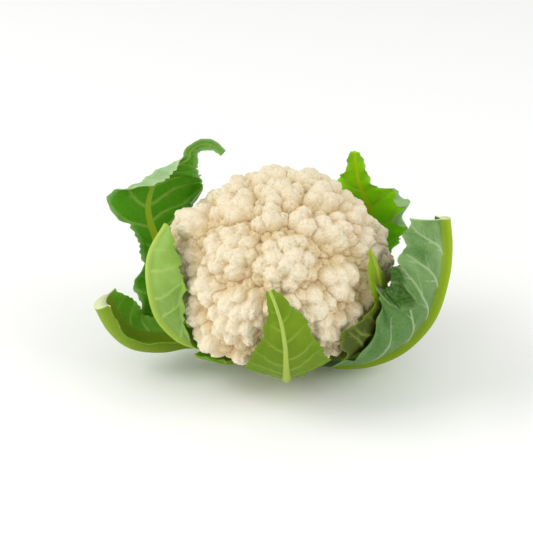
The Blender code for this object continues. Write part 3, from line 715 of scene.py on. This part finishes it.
def make_leaf(name, node, leaf, finish):
    """Makes one leaf from its table. Its random numbers are seeded with its node's name."""
    dice = random.Random(node)
    rows, rib_columns, blade_columns = LARGE_GRID if leaf.get("large") else USUAL_GRID
    inner, depth, flat, edge, rib_half = leaf_surface(leaf, rows, rib_columns, blade_columns, dice)
    length = float(flat[-1, 0, 1])
    strength, nearest = vein_strength(flat, vein_lines(leaf, length, dice))
    on_rib = smoothstep(*RIB_SHOULDER, np.abs(flat[:, :, 0]) / rib_half[:, None])
    strength *= 1 - on_rib
    normal = unit(np.cross(np.gradient(inner, axis=1), np.gradient(inner, axis=0)))
    quilt = QUILT_RISE * (1 - np.exp(-nearest / QUILT_WIDTH)) * (1 - on_rib) * (1 - QUILT_LOSS_AT_EDGE * edge)
    inner = inner + normal * (VEIN_SINK * strength - quilt)[..., None]
    outer = inner + normal * (depth + (VEIN_RISE - VEIN_SINK) * strength)[..., None]
    columns = depth.shape[1]
    bpy.ops.object.select_all(action="DESELECT")
    bpy.ops.mesh.primitive_grid_add(x_subdivisions=columns - 1, y_subdivisions=rows - 1, size=2)
    obj = bpy.context.object
    obj.name = name
    start = places_of(obj.data)
    column = np.rint((start[:, 0] + 1) / 2 * (columns - 1)).astype(int)
    row = np.rint((start[:, 1] + 1) / 2 * (rows - 1)).astype(int)
    apply(obj, "SOLIDIFY", thickness=0.1, offset=1.0)
    put(obj.data, np.vstack([outer[row, column], inner[row, column]]))
    count = len(start)
    store(obj.data, "outer", np.repeat([1.0, 0.0], count))
    for key, values in (("vein", strength), ("rib", on_rib), ("edge", edge)):
        store(obj.data, key, np.tile(values[row, column], 2))
    along = np.repeat((flat[:, 0, 1] / length)[:, None], columns, axis=1)
    store(obj.data, "along", np.tile(along[row, column], 2))
    place = np.stack([flat[:, :, 0], flat[:, :, 1], np.zeros(depth.shape)], axis=2)
    store(obj.data, "place", np.tile(place[row, column], (2, 1)))
    end = np.repeat((np.arange(rows) == rows - 1)[:, None], columns, axis=1) * leaf.get("trimmed", False)
    store(obj.data, "cut", np.tile(end[row, column], 2))
    finish_piece(obj, node)
    obj.data.materials.append(finish)


# %% [markdown]
# Fresh curd is a mass of tiny flower buds: soft, matt and slightly see-through, so light spreads under its
# surface and warms the crevices. Its colour is ivory. The crevices where the florets press together and the
# hollows below the curd's skin are painted tan as shade, and the gaps between the finest buds, 1.5 mm
# across, are painted a little darker as shade. Below the florets the branches are smooth and a little green.

# %% The curd's finish
IVORY = "#F0E7D0"
WARM_IVORY = "#EADDBC"
CREVICE_PAINTED_SHADE = "#B08A4C"
HOLLOW_PAINTED_SHADE = "#D8C190"
BRANCH_GREEN = "#DCE2A8"
BUD_GAP_PAINTED_SHADE = "#E8CFA2"
BUD_SIZE = 0.0015
TONE_SIZE = 0.022
# The sunk places are painted darker tan as shade: the hollows by their depth below the skin, the crevices by
# their nearness.
PAINTED_SUNK_SHADE = [("depth", 0.5, 1.45, 0.75, HOLLOW_PAINTED_SHADE), ("crevice", 0.3, 1.0, 0.7, CREVICE_PAINTED_SHADE)]

curd_finish, tree, shader = new_material(
    "fresh_ivory_curd",
    {
        "Roughness": 0.62,
        "Specular IOR Level": 0.35,
        "Subsurface Weight": 0.25,
        "Subsurface Radius": (1.0, 0.85, 0.55),
        "Subsurface Scale": 0.0022,
    },
)
place = add(tree, "TexCoord").outputs["Object"]
tone = add(tree, "TexNoise", {"Scale": 1 / TONE_SIZE, "Detail": 3.0}, {"Vector": place})
tones = {"data_type": "RGBA", 6: linear(IVORY), 7: linear(WARM_IVORY)}
colour = add(tree, "Mix", tones, {0: tone.outputs["Fac"]})
# Painted shade in the hollows and crevices, mixed over the ivory tones.
for name, low, high, most, tint in PAINTED_SUNK_SHADE:
    sunk = add(tree, "Attribute", {"attribute_name": name})
    limits = {"interpolation_type": "SMOOTHSTEP", "From Min": low, "From Max": high, "To Max": most}
    share = add(tree, "MapRange", limits, {"Value": sunk.outputs["Fac"]})
    links = {0: share.outputs["Result"], 6: colour.outputs[2]}
    colour = add(tree, "Mix", {"data_type": "RGBA", 7: linear(tint)}, links)
under = add(tree, "Attribute", {"attribute_name": "under"})
links = {0: under.outputs["Fac"], 6: colour.outputs[2]}
colour = add(tree, "Mix", {"data_type": "RGBA", 7: linear(BRANCH_GREEN)}, links)
# The gaps between the buds are painted a little darker as shade, and the same cells give the buds their
# relief.
buds = add(tree, "TexVoronoi", {"Scale": 1 / BUD_SIZE}, {"Vector": place})
limits = {"From Min": 0.25, "From Max": 0.75, "To Min": 0.0, "To Max": 0.22}
bud_shade = add(tree, "MapRange", limits, {"Value": buds.outputs["Distance"]})
links = {0: bud_shade.outputs["Result"], 6: colour.outputs[2]}
colour = add(tree, "Mix", {"data_type": "RGBA", "blend_type": "MULTIPLY", 7: linear(BUD_GAP_PAINTED_SHADE)}, links)
relief = {"Strength": 0.85, "Distance": 0.0006, "invert": True}
link_finish(tree, shader, colour, add(tree, "Bump", relief, {"Height": buds.outputs["Distance"]}))
curd.data.materials.append(curd_finish)
print("curd finish:", len(tree.nodes), "nodes")

# %% [markdown]
# The stalk is pale green bark, smooth and a little glossy. The knife's cut shows creamy pith inside a thin
# greener ring, which lies about 2 mm under the bark.

# %% The stem's finish
stem_finish, tree, shader = new_material(
    "cut_green_stalk", {"Roughness": 0.5, "Subsurface Weight": 0.2, "Subsurface Scale": 0.002}
)
place = add(tree, "TexCoord").outputs["Object"]
streaks = add(tree, "Mapping", {"Scale": (260.0, 260.0, 40.0)}, {"Vector": place})
fibres = add(tree, "TexNoise", {"Scale": 1.0, "Detail": 4.0}, {"Vector": streaks.outputs["Vector"]})
greens = {"data_type": "RGBA", 6: linear("#A9BE6C"), 7: linear("#D3DDA4")}
bark = add(tree, "Mix", greens, {0: fibres.outputs["Fac"]})
flat_place = add(tree, "VectorMath", {"operation": "MULTIPLY", 1: (1.0, 1.0, 0.0)}, {0: place})
from_axis = add(tree, "VectorMath", {"operation": "LENGTH"}, {0: flat_place.outputs[0]})
limits = {"interpolation_type": "SMOOTHSTEP", "From Min": 0.0150, "From Max": 0.0172}
ring = add(tree, "MapRange", limits, {"Value": from_axis.outputs["Value"]})
creams = {"data_type": "RGBA", 6: linear("#F1EBCB"), 7: linear("#C3CF8C")}
pith = add(tree, "Mix", creams, {0: ring.outputs["Result"]})
cut = add(tree, "Attribute", {"attribute_name": "cut"})
links = {0: cut.outputs["Fac"], 6: bark.outputs[2], 7: pith.outputs[2]}
colour = add(tree, "Mix", {"data_type": "RGBA"}, links)
relief = add(tree, "Bump", {"Strength": 0.4, "Distance": 0.0003}, {"Height": fibres.outputs["Fac"]})
link_finish(tree, shader, colour, relief)
stem.data.materials.append(stem_finish)
print("stem finish:", len(tree.nodes), "nodes")

# %% [markdown]
# A cauliflower leaf has two faces. The inner one is a clear green and slightly glossy. The outer one has a
# waxy bloom that scatters light, so it looks blue-grey and matt, in patches where handling has rubbed it off.
# Ribs and veins hold little chlorophyll and look pale yellow-green. A network of fine veins, 3 to 4 mm
# apart, fills the blade. The same recipe serves young and old leaves, which differ in their colours.

# %% The leaves' finish
PATCH_SIZE = 0.026
NET_SIZE = 0.0034
PORE_SIZE = 0.0007
CUT_CREAM = "#D3DDA6"


def leaf_finish(name, **tints):
    """A leaf's finish from its tints.

    They are inner and rib, each with one for its tip, outer with outer_patch where the bloom is rubbed off
    and an optional darker one for the outer face near the foot, a painted shade, vein and margin.
    """
    made, tree, shader = new_material(
        name,
        {
            "Specular IOR Level": 0.18,
            "Subsurface Weight": 0.3,
            "Subsurface Radius": (0.7, 1.0, 0.15),
            "Subsurface Scale": 0.0025,
        },
    )
    place = add(tree, "Attribute", {"attribute_name": "place"}).outputs["Vector"]
    share = {
        key: add(tree, "Attribute", {"attribute_name": key}).outputs["Fac"]
        for key in ("outer", "vein", "rib", "edge", "along", "cut")
    }
    patches = add(tree, "TexNoise", {"Scale": 1 / PATCH_SIZE, "Detail": 2.0}, {"Vector": place})
    ranges = {
        "rubbed": (0.34, 0.66, patches.outputs["Fac"]),
        "tip": (0.45, 0.85, share["along"]),
        "low": (0.80, 0.64, share["along"]),
    }
    for key, (low, high, value) in ranges.items():
        limits = {"interpolation_type": "SMOOTHSTEP", "From Min": low, "From Max": high}
        share[key] = add(tree, "MapRange", limits, {"Value": value}).outputs["Result"]
    face = {}
    pairs = ("inner", "tip", "inner_tip"), ("outer", "rubbed", "outer_patch"), ("rib", "tip", "rib_tip")
    for key, by, other in pairs:
        pair = {"data_type": "RGBA", 6: linear(tints[key]), 7: linear(tints[other])}
        face[key] = add(tree, "Mix", pair, {0: share[by]}).outputs[2]
    # Near the foot the outer face takes its darker foot tint, a painted shade, or without one the rubbed
    # colour.
    foot = {"data_type": "RGBA", 7: linear(tints.get("outer_low", tints["outer_patch"]))}
    outer = add(tree, "Mix", foot, {0: share["low"], 6: face["outer"]}).outputs[2]
    faces = {0: share["outer"], 6: face["inner"], 7: outer}
    colour = add(tree, "Mix", {"data_type": "RGBA"}, faces).outputs[2]
    cells = {"feature": "DISTANCE_TO_EDGE", "Scale": 1 / NET_SIZE}
    net = add(tree, "TexVoronoi", cells, {"Vector": place})
    limits = {"From Min": 0.0, "From Max": 0.12, "To Min": 0.11, "To Max": 0.0}
    net_share = add(tree, "MapRange", limits, {"Value": net.outputs["Distance"]}).outputs["Result"]
    vein_share = add(tree, "Math", {"operation": "MULTIPLY", 1: 0.85}, {0: share["vein"]}).outputs["Value"]
    edge_share = add(tree, "Math", {"operation": "MULTIPLY", 1: 0.35}, {0: share["edge"]}).outputs["Value"]
    for by, tint in ((net_share, "vein"), (vein_share, "vein"), (edge_share, "margin")):
        over = {"data_type": "RGBA", 7: linear(tints[tint])}
        colour = add(tree, "Mix", over, {0: by, 6: colour}).outputs[2]
    ribbed = add(tree, "Mix", {"data_type": "RGBA"}, {0: share["rib"], 6: colour, 7: face["rib"]}).outputs[2]
    ended = add(tree, "Mix", {"data_type": "RGBA", 7: linear(CUT_CREAM)}, {0: share["cut"], 6: ribbed})
    gloss = add(tree, "MapRange", {"To Min": 0.40, "To Max": 0.55}, {"Value": share["outer"]})
    pores = add(tree, "TexNoise", {"Scale": 1 / PORE_SIZE, "Detail": 2.0}, {"Vector": place})
    heights = {0: net_share, 2: pores.outputs["Fac"]}
    height = add(tree, "Math", {"operation": "MULTIPLY_ADD", 1: 2.5}, heights)
    relief = add(tree, "Bump", {"Strength": 0.35, "Distance": 0.0002}, {"Height": height.outputs["Value"]})
    link_finish(tree, shader, ended, relief)
    tree.links.new(gloss.outputs["Result"], shader.inputs["Roughness"])
    print(name, len(tree.nodes), "nodes")
    return made


# %% [markdown]
# The youngest leaf in view stands up the front of the curd. It is small and pointed, a light
# yellow-green, and its pale rib tapers from the stem to the tip, with four or five veins on each side.

# %% The front leaf
young_yellow_green_leaf = leaf_finish(
    "young_yellow_green_leaf", inner="#75920E", inner_tip="#819C15", outer="#759311", outer_patch="#668507",
    rib="#A3B84E", rib_tip="#A9BE5A", vein="#8FA83C", margin="#6F9410",
)
leaf_front = {
    "rib": [
        (0.0005, -0.016, 0.012), (0.001, -0.028, 0.0095), (0.001, -0.042, 0.012), (0.001, -0.058, 0.0205),
        (0.0005, -0.074, 0.0335), (0, -0.085, 0.05), (-0.0006, -0.088, 0.063), (-0.003, -0.087, 0.079),
        (-0.007, -0.0825, 0.091), (-0.0105, -0.078, 0.0985),
    ],
    "outline": [
        (0.0, 0.0065, 0.0065, 0, 0), (0.3, 0.009, 0.009, 10, 10), (0.42, 0.013, 0.014, 20, 20),
        (0.51, 0.027, 0.03, 35, 35), (0.64, 0.0225, 0.0255, 45, 45), (0.8, 0.014, 0.017, 35, 35),
        (0.93, 0.006, 0.008, 20, 20), (1.0, 0.003, 0.003, 10, 10),
    ],
    "rib_depth": (0.007, 0.0016), "waves": 2, "rib_half_width": (0.0064, 0.001), "wave": 8,
    "clearance": 0.0004, "rib_taper": 2.4,
}
make_leaf("front_leaf", "leaf_front", leaf_front, young_yellow_green_leaf)

# %% [markdown]
# The largest leaf wraps the right side. Its outer face is blue-grey with bloom, crossed by pale veins, and
# its thick rib makes the right edge of the head. The near margin is folded outwards in a flap, which shows
# the dark inner face. A knife has cut its top flat.

# %% The large leaf on the right
bloomed_outer_leaf = leaf_finish(
    "bloomed_outer_leaf", inner="#305A04", inner_tip="#2C5404", outer="#7FA262", outer_patch="#557F3C",
    rib="#809B0D", rib_tip="#92AE0B", vein="#B4C89C", margin="#93AD78",
)
leaf_right_large = {
    "rib": [
        (0.014, -0.006, 0.013), (0.026, -0.012, 0.0115), (0.042, -0.018, 0.0125), (0.06, -0.021, 0.016),
        (0.08, -0.021, 0.026), (0.097, -0.02, 0.047), (0.105, -0.017, 0.074), (0.1068, -0.014, 0.097),
        (0.105, -0.011, 0.117),
    ],
    "outline": [
        (0.0, 0.0085, 0.0085, 0, 0), (0.12, 0.018, 0.01, 20, 15), (0.22, 0.039, 0.012, 49, 20),
        (0.3, 0.057, 0.016, 66, 30), (0.36, 0.071, 0.02, 84, 40), (0.48, 0.076, 0.024, 94, 40),
        (0.53, 0.078, 0.026, 98, 40, -50, 0), (0.6, 0.092, 0.026, 104, 40, -162, 0),
        (0.67, 0.093, 0.026, 108, 40, -162, 0), (0.74, 0.083, 0.026, 104, 40, -162, 0),
        (0.79, 0.058, 0.025, 90, 40, -95, 0), (0.83, 0.046, 0.022, 78, 40), (0.9, 0.0435, 0.016, 79, 40),
        (1.0, 0.037, 0.009, 72, 40),
    ],
    "crease": [
        (0.0, 0.92, 0.8), (0.53, 0.92, 0.8), (0.58, 0.84, 0.8), (0.62, 0.77, 0.8), (0.66, 0.745, 0.8),
        (0.7, 0.75, 0.8), (0.74, 0.79, 0.8), (0.79, 0.9, 0.8), (1.0, 0.92, 0.8),
    ],
    "sweep": [
        (0.25, 0.0, 0.0), (0.5, 0.3, 0.0), (1.0, 0.3, 0.0),
    ],
    "trimmed": True, "rib_depth": (0.0095, 0.007), "waves": 3, "clearance": 0.006, "large": True, "wave": 0,
    "rib_half_width": (0.0084, 0.0045), "vein_spacing": 0.024, "droop": (0.55, 0.0), "tooth": 0.0006,
}
make_leaf("right_large_leaf", "leaf_right_large", leaf_right_large, bloomed_outer_leaf)

# %% [markdown]
# This leaf is mostly rib: it lies low on the left, curves up like a spoon, and ends in a knife cut that
# shows its pale, moist inside. A narrow blade is left on both sides.

# %% The cut leaf on the left
trimmed_rib_leaf = leaf_finish(
    "trimmed_rib_leaf", inner="#64A41C", inner_tip="#6CAA26", outer="#64800C", outer_patch="#557006",
    rib="#67840A", rib_tip="#86A22A", vein="#B4C66A", margin="#8FB13C",
)
leaf_left_cut = {
    "rib": [
        (-0.014, -0.002, 0.014), (-0.028, -0.005, 0.0145), (-0.048, -0.009, 0.022), (-0.068, -0.012, 0.026),
        (-0.087, -0.014, 0.024), (-0.1045, -0.015, 0.027), (-0.116, -0.015, 0.038), (-0.124, -0.015, 0.056),
    ],
    "outline": [
        (0.0, 0.0058, 0.0058, 0, 0), (0.25, 0.009, 0.009, 20, 10), (0.6, 0.019, 0.0112, 60, 30),
        (0.85, 0.025, 0.0118, 65, 30), (1.0, 0.015, 0.0118, 60, 30),
    ],
    "trimmed": True, "rib_half_width": (0.006, 0.0088), "rib_depth": (0.0095, 0.0095), "waves": 2,
    "wave": 8, "tooth": 0.0009,
}
make_leaf("left_cut_leaf", "leaf_left_cut", leaf_left_cut, trimmed_rib_leaf)

# %% [markdown]
# A pale leaf hugs the curd's left side. Its outer face has a light bloom, and its rib runs up the left
# edge, so that only its near half is seen from the front.

# %% The near leaf on the left
# Its outer face is painted a darker green near the foot as shade.
pale_bloomed_leaf = leaf_finish(
    "pale_bloomed_leaf", inner="#7FA31C", inner_tip="#86AB22", outer="#90B256", outer_low="#7A9C44",
    outer_patch="#7B9E38", rib="#9EB946", rib_tip="#A6C055", vein="#9ABA5E", margin="#7F9F28",
)
leaf_left_near = {
    "rib": [
        (-0.014, -0.008, 0.026), (-0.028, -0.015, 0.025), (-0.044, -0.0225, 0.027),
        (-0.062, -0.028, 0.0315), (-0.074, -0.031, 0.0395), (-0.0855, -0.031, 0.055),
        (-0.0905, -0.03, 0.08), (-0.089, -0.027, 0.099), (-0.079, -0.02, 0.117),
    ],
    "outline": [
        (0.0, 0.007, 0.007, 0, 0), (0.25, 0.008, 0.01, 20, 30), (0.45, 0.014, 0.03, 60, 80),
        (0.7, 0.016, 0.04, 60, 90), (0.88, 0.012, 0.028, 50, 70), (0.95, 0.007, 0.014, 50, 70),
        (1.0, 0.005, 0.005, 20, 20),
    ],
    "waves": 3, "wave": 5, "rib_half_width": (0.0062, 0.0022), "rib_depth": (0.007, 0.0028),
    "clearance": 0.0004, "vein_spacing": 0.018,
}
make_leaf("left_near_leaf", "leaf_left_near", leaf_left_near, pale_bloomed_leaf)

# %% [markdown]
# The tall leaf behind the left side opens towards the viewer, so its dark inner face and yellow-green rib
# are seen. Its upper margins roll forwards and show the pale bloom of the outer face, and its tip bends
# over to the right like a hook.

# %% The tall leaf on the left
dark_inner_leaf = leaf_finish(
    "dark_inner_leaf", inner="#468C03", inner_tip="#4C8E12", outer="#B5D0AC", outer_patch="#94B87E",
    rib="#9DB50C", rib_tip="#7FA548", vein="#8FB04E", margin="#B8D09A",
)
leaf_left_tall = {
    "rib": [
        (-0.013, 0.008, 0.012), (-0.03, 0.018, 0.012), (-0.06, 0.03, 0.028), (-0.083, 0.031, 0.06),
        (-0.095, 0.033, 0.092), (-0.0955, 0.0345, 0.111), (-0.088, 0.035, 0.126), (-0.076, 0.035, 0.135),
        (-0.067, 0.035, 0.141), (-0.0655, 0.035, 0.1465), (-0.059, 0.0355, 0.1512), (-0.05, 0.035, 0.1512),
        (-0.0425, 0.033, 0.146),
    ],
    "outline": [
        (0.0, 0.0065, 0.0065, 0, 0), (0.16, 0.009, 0.01, 20, 0), (0.24, 0.018, 0.034, 20, -20),
        (0.32, 0.026, 0.044, 30, -10), (0.4, 0.02, 0.031, 30, 10), (0.46, 0.016, 0.015, 20, 10),
        (0.53, 0.024, 0.013, 20, 10), (0.575, 0.028, 0.0145, 20, 10), (0.6, 0.035, 0.025, 18, 10, 30, 0),
        (0.63, 0.042, 0.03, 15, 10, 80, 0), (0.655, 0.0435, 0.028, 15, 10, 110, 0),
        (0.675, 0.042, 0.0245, 12, 10, 115, 80), (0.7, 0.037, 0.0215, 10, 10, 115, 115),
        (0.74, 0.0245, 0.017, 10, 10, 110, 120), (0.79, 0.015, 0.0105, 15, 10, 80, 120),
        (0.83, 0.009, 0.0065, 20, 10, 0, 40), (0.87, 0.0055, 0.005, 20, 20), (0.93, 0.0045, 0.0045, 30, 30),
        (1.0, 0.0025, 0.0025, 20, 20),
    ],
    "crease": [
        (0.0, 0.84, 0.85), (0.65, 0.84, 0.85), (0.675, 0.84, 0.72), (0.7, 0.84, 0.5), (0.74, 0.84, 0.42),
        (1.0, 0.82, 0.4),
    ],
    "sweep": [
        (0.25, 0.0, 0.0), (0.5, 0.0, 0.35), (0.62, 0.0, 0.35), (0.7, 0.5, 0.35), (0.76, 0.9, 0.35),
        (0.82, 0.8, 0.35), (0.88, 0.2, 0.2), (1.0, 0.0, 0.0),
    ],
    "rib_depth": (0.0085, 0.0014), "waves": 4, "facing": (-0.42, 0.9, 0.05), "clearance": 0.004,
    "large": True, "tooth": 0.0012, "wave": 6, "rib_half_width": (0.0068, 0.0006), "rib_taper": 1.5,
    "ruffle": 24,
}
make_leaf("left_tall_leaf", "leaf_left_tall", leaf_left_tall, dark_inner_leaf)

# %% [markdown]
# Behind the right side a leaf opens towards the viewer too. It is torn into lobes: a bright yellow-green one
# at the top, and darker ones below with curled pale margins.

# %% The back leaf on the right
bright_torn_leaf = leaf_finish(
    "bright_torn_leaf", inner="#50AF02", inner_tip="#89CB02", outer="#9FBB92", outer_patch="#6F9A54",
    rib="#8DB401", rib_tip="#ADD009", vein="#8DB82C", margin="#8FB45A",
)
leaf_right_back = {
    "rib": [
        (0.014, 0.011, 0.012), (0.03, 0.022, 0.012), (0.05, 0.036, 0.026), (0.063, 0.047, 0.054),
        (0.064, 0.051, 0.084), (0.059, 0.052, 0.1), (0.0535, 0.051, 0.114), (0.0505, 0.05, 0.1285),
        (0.049, 0.049, 0.14),
    ],
    "outline": [
        (0.0, 0.007, 0.007, 0, 0), (0.2, 0.01, 0.01, 20, 20), (0.42, 0.012, 0.014, 30, 20),
        (0.54, 0.014, 0.019, 5, 20), (0.58, 0.02, 0.019, 20, 20), (0.65, 0.031, 0.018, 28, 20, 50, 0),
        (0.7, 0.043, 0.019, 48, 20, 110, 0), (0.75, 0.046, 0.018, 38, 0, 130, 0),
        (0.785, 0.034, 0.017, 20, -10, 90, 0), (0.81, 0.012, 0.018, 20, -10), (0.85, 0.0095, 0.02, 10, -20),
        (0.88, 0.0085, 0.014, 0, -10), (0.91, 0.0076, 0.008, 0, 0), (0.95, 0.007, 0.0062, 0, 0),
        (1.0, 0.0042, 0.003, 10, 10),
    ],
    "crease": [
        (0.0, 0.84, 0.8), (1.0, 0.84, 0.8),
    ],
    "rib_half_width": (0.007, 0.001), "rib_depth": (0.0085, 0.0014), "waves": 4,
    "facing": (0.35, 0.92, 0.0), "clearance": 0.003, "tooth": 0.0014, "large": True, "rib_taper": 1.4,
    "wave": 11, "ruffle": 38,
}
make_leaf("right_back_leaf", "leaf_right_back", leaf_right_back, bright_torn_leaf)

# %% [markdown]
# Between the curd and the large leaf stands a slender young one. Its tip is bright, and its lower part, which
# lies in the shade of the large leaf, is painted dark olive as that shade.

# %% The inner leaf on the right
slender_young_leaf = leaf_finish(
    "slender_young_leaf", inner="#6C7A1C", inner_tip="#B4D021", outer="#94AC26", outer_low="#414D08",
    outer_patch="#86A21C", rib="#6A7A20", rib_tip="#9DB13A", vein="#7E9236", margin="#7C9A18",
)
leaf_right_inner = {
    "rib": [
        (0.012, -0.01, 0.0255), (0.024, -0.021, 0.027), (0.038, -0.034, 0.031), (0.05, -0.045, 0.041),
        (0.06, -0.052, 0.058), (0.0645, -0.054, 0.079), (0.062, -0.055, 0.094), (0.055, -0.051, 0.114),
    ],
    "outline": [
        (0.0, 0.007, 0.007, 0, 0), (0.3, 0.012, 0.008, 30, 20), (0.42, 0.022, 0.013, 55, 40),
        (0.52, 0.036, 0.013, 65, 40), (0.6, 0.036, 0.013, 60, 40), (0.66, 0.02, 0.012, 50, 40),
        (0.72, 0.009, 0.011, 40, 40), (0.8, 0.0095, 0.008, 40, 30), (0.88, 0.008, 0.0055, 30, 30),
        (1.0, 0.0018, 0.0018, 10, 10),
    ],
    "rib_half_width": (0.006, 0.0008), "waves": 3, "wave": 5, "rib_depth": (0.005, 0.0014),
}
make_leaf("right_inner_leaf", "leaf_right_inner", leaf_right_inner, slender_young_leaf)

# %% [markdown]
# A small dark leaf lies under the florets at the lower left. Only its margin shows from the front.

# %% The low leaf on the left
leaf_left_low = {
    "rib": [
        (-0.0085, -0.011, 0.014), (-0.018, -0.02, 0.0145), (-0.03, -0.0295, 0.0175),
        (-0.043, -0.037, 0.0205), (-0.061, -0.043, 0.0285),
    ],
    "outline": [
        (0.0, 0.0055, 0.0055, 0, 0), (0.35, 0.005, 0.005, 30, 30), (0.6, 0.006, 0.006, 50, 50),
        (0.85, 0.01, 0.011, 40, 50), (1.0, 0.003, 0.003, 20, 20),
    ],
    "rib_half_width": (0.005, 0.001), "wave": 10, "waves": 2, "clearance": 0.0045, "tooth": 0.001,
    "rib_depth": (0.0042, 0.0014),
}
make_leaf("left_low_leaf", "leaf_left_low", leaf_left_low, trimmed_rib_leaf)

# %% [markdown]
# The photograph doesn't show the back, so it gets what real heads have there: a large outer leaf on a thick
# rib, trimmed a little below the crown.

# %% The leaf at the back
leaf_back = {
    "rib": [
        (-0.001, 0.016, 0.012), (-0.002, 0.032, 0.011), (-0.004, 0.056, 0.018), (-0.006, 0.08, 0.041),
        (-0.007, 0.092, 0.068), (-0.007, 0.093, 0.094), (-0.006, 0.089, 0.109),
    ],
    "outline": [
        (0.0, 0.0075, 0.0075, 0, 0), (0.25, 0.011, 0.011, 20, 20), (0.5, 0.018, 0.025, 60, 60),
        (0.75, 0.028, 0.033, 60, 60, -30, -40), (0.92, 0.024, 0.024, 40, 40, -30, -30),
        (1.0, 0.012, 0.012, 20, 20),
    ],
    "rib_half_width": (0.0074, 0.002), "rib_depth": (0.0095, 0.003), "wave": 14, "waves": 4,
    "clearance": 0.0075,
}
make_leaf("back_leaf", "leaf_back", leaf_back, bloomed_outer_leaf)

# %% [markdown]
# A young leaf grows between the two older ones, nearer the curd.

# %% The young leaf at the back right
leaf_back_right = {
    "rib": [
        (0.005, 0.015, 0.025), (0.013, 0.035, 0.025), (0.023, 0.057, 0.037), (0.03, 0.07, 0.059),
        (0.033, 0.075, 0.084), (0.032, 0.073, 0.107),
    ],
    "outline": [
        (0.0, 0.0065, 0.0065, 0, 0), (0.3, 0.009, 0.009, 20, 20), (0.55, 0.015, 0.015, 60, 60),
        (0.8, 0.017, 0.017, 60, 60), (1.0, 0.004, 0.004, 20, 20),
    ],
    "rib_half_width": (0.0055, 0.001), "rib_depth": (0.0045, 0.0014), "wave": 12, "waves": 3,
}
make_leaf("back_right_leaf", "leaf_back_right", leaf_back_right, pale_bloomed_leaf)

# %% [markdown]
# Its neighbour on the other side is much the same, and only its rib takes another path. It ends lower than
# its CAD node, because nothing of it shows above the curd in the photograph.

# %% The young leaf at the back left
leaf_back_left = {
    **leaf_back_right,
    "rib": [
        (-0.008, 0.014, 0.025), (-0.019, 0.033, 0.024), (-0.032, 0.053, 0.035), (-0.041, 0.067, 0.058),
        (-0.045, 0.071, 0.08), (-0.046, 0.071, 0.1),
    ],
}
make_leaf("back_left_leaf", "leaf_back_left", leaf_back_left, pale_bloomed_leaf)

# %% [markdown]
# The photograph has a plain white background and soft light from all round, a little stronger from above and
# the left. A large pale floor, a bright even sky and three wide lamps, at the left, the right and the
# front, give that. The Standard view transform keeps the greens as clear as the photograph has them.

# %% Floor and light
FLOOR_SIDE = 12.0
SKY = 0.66
LAMPS = [
    ("left_lamp", (-1.55, -0.1, 1.3), 1.2, 18.0),
    ("right_lamp", (1.5, -0.5, 1.15), 1.2, 13.0),
    ("front_lamp", (-1.2, -1.4, 0.6), 1.0, 4.5),
]

bpy.ops.object.select_all(action="DESELECT")
bpy.ops.mesh.primitive_plane_add(size=FLOOR_SIDE, location=(0, 0, 0))
floor = bpy.context.object
floor.name = "pale_floor"
paper = new_material(
    "matt_white_paper", {"Base Color": linear("#FBFBF9"), "Roughness": 0.9, "Specular IOR Level": 0.1}
)[0]
floor.data.materials.append(paper)

world = bpy.data.worlds.new("soft_white_room")
world.use_nodes = True
sky = world.node_tree.nodes["Background"]
sky.inputs["Color"].default_value = (1.0, 1.0, 1.0, 1.0)
sky.inputs["Strength"].default_value = SKY
bpy.context.scene.world = world
for name, place, size, watts in LAMPS:
    bpy.ops.object.light_add(type="AREA", location=place)
    lamp = bpy.context.object
    lamp.name = name
    lamp.data.size = size
    lamp.data.energy = watts
    lamp.rotation_mode = "QUATERNION"
    lamp.rotation_quaternion = (Vector(place) - Vector(CURD_CENTRE)).to_track_quat("Z", "Y")
bpy.context.scene.view_settings.view_transform = "Standard"
print("lamps:", [name for name, *_ in LAMPS])
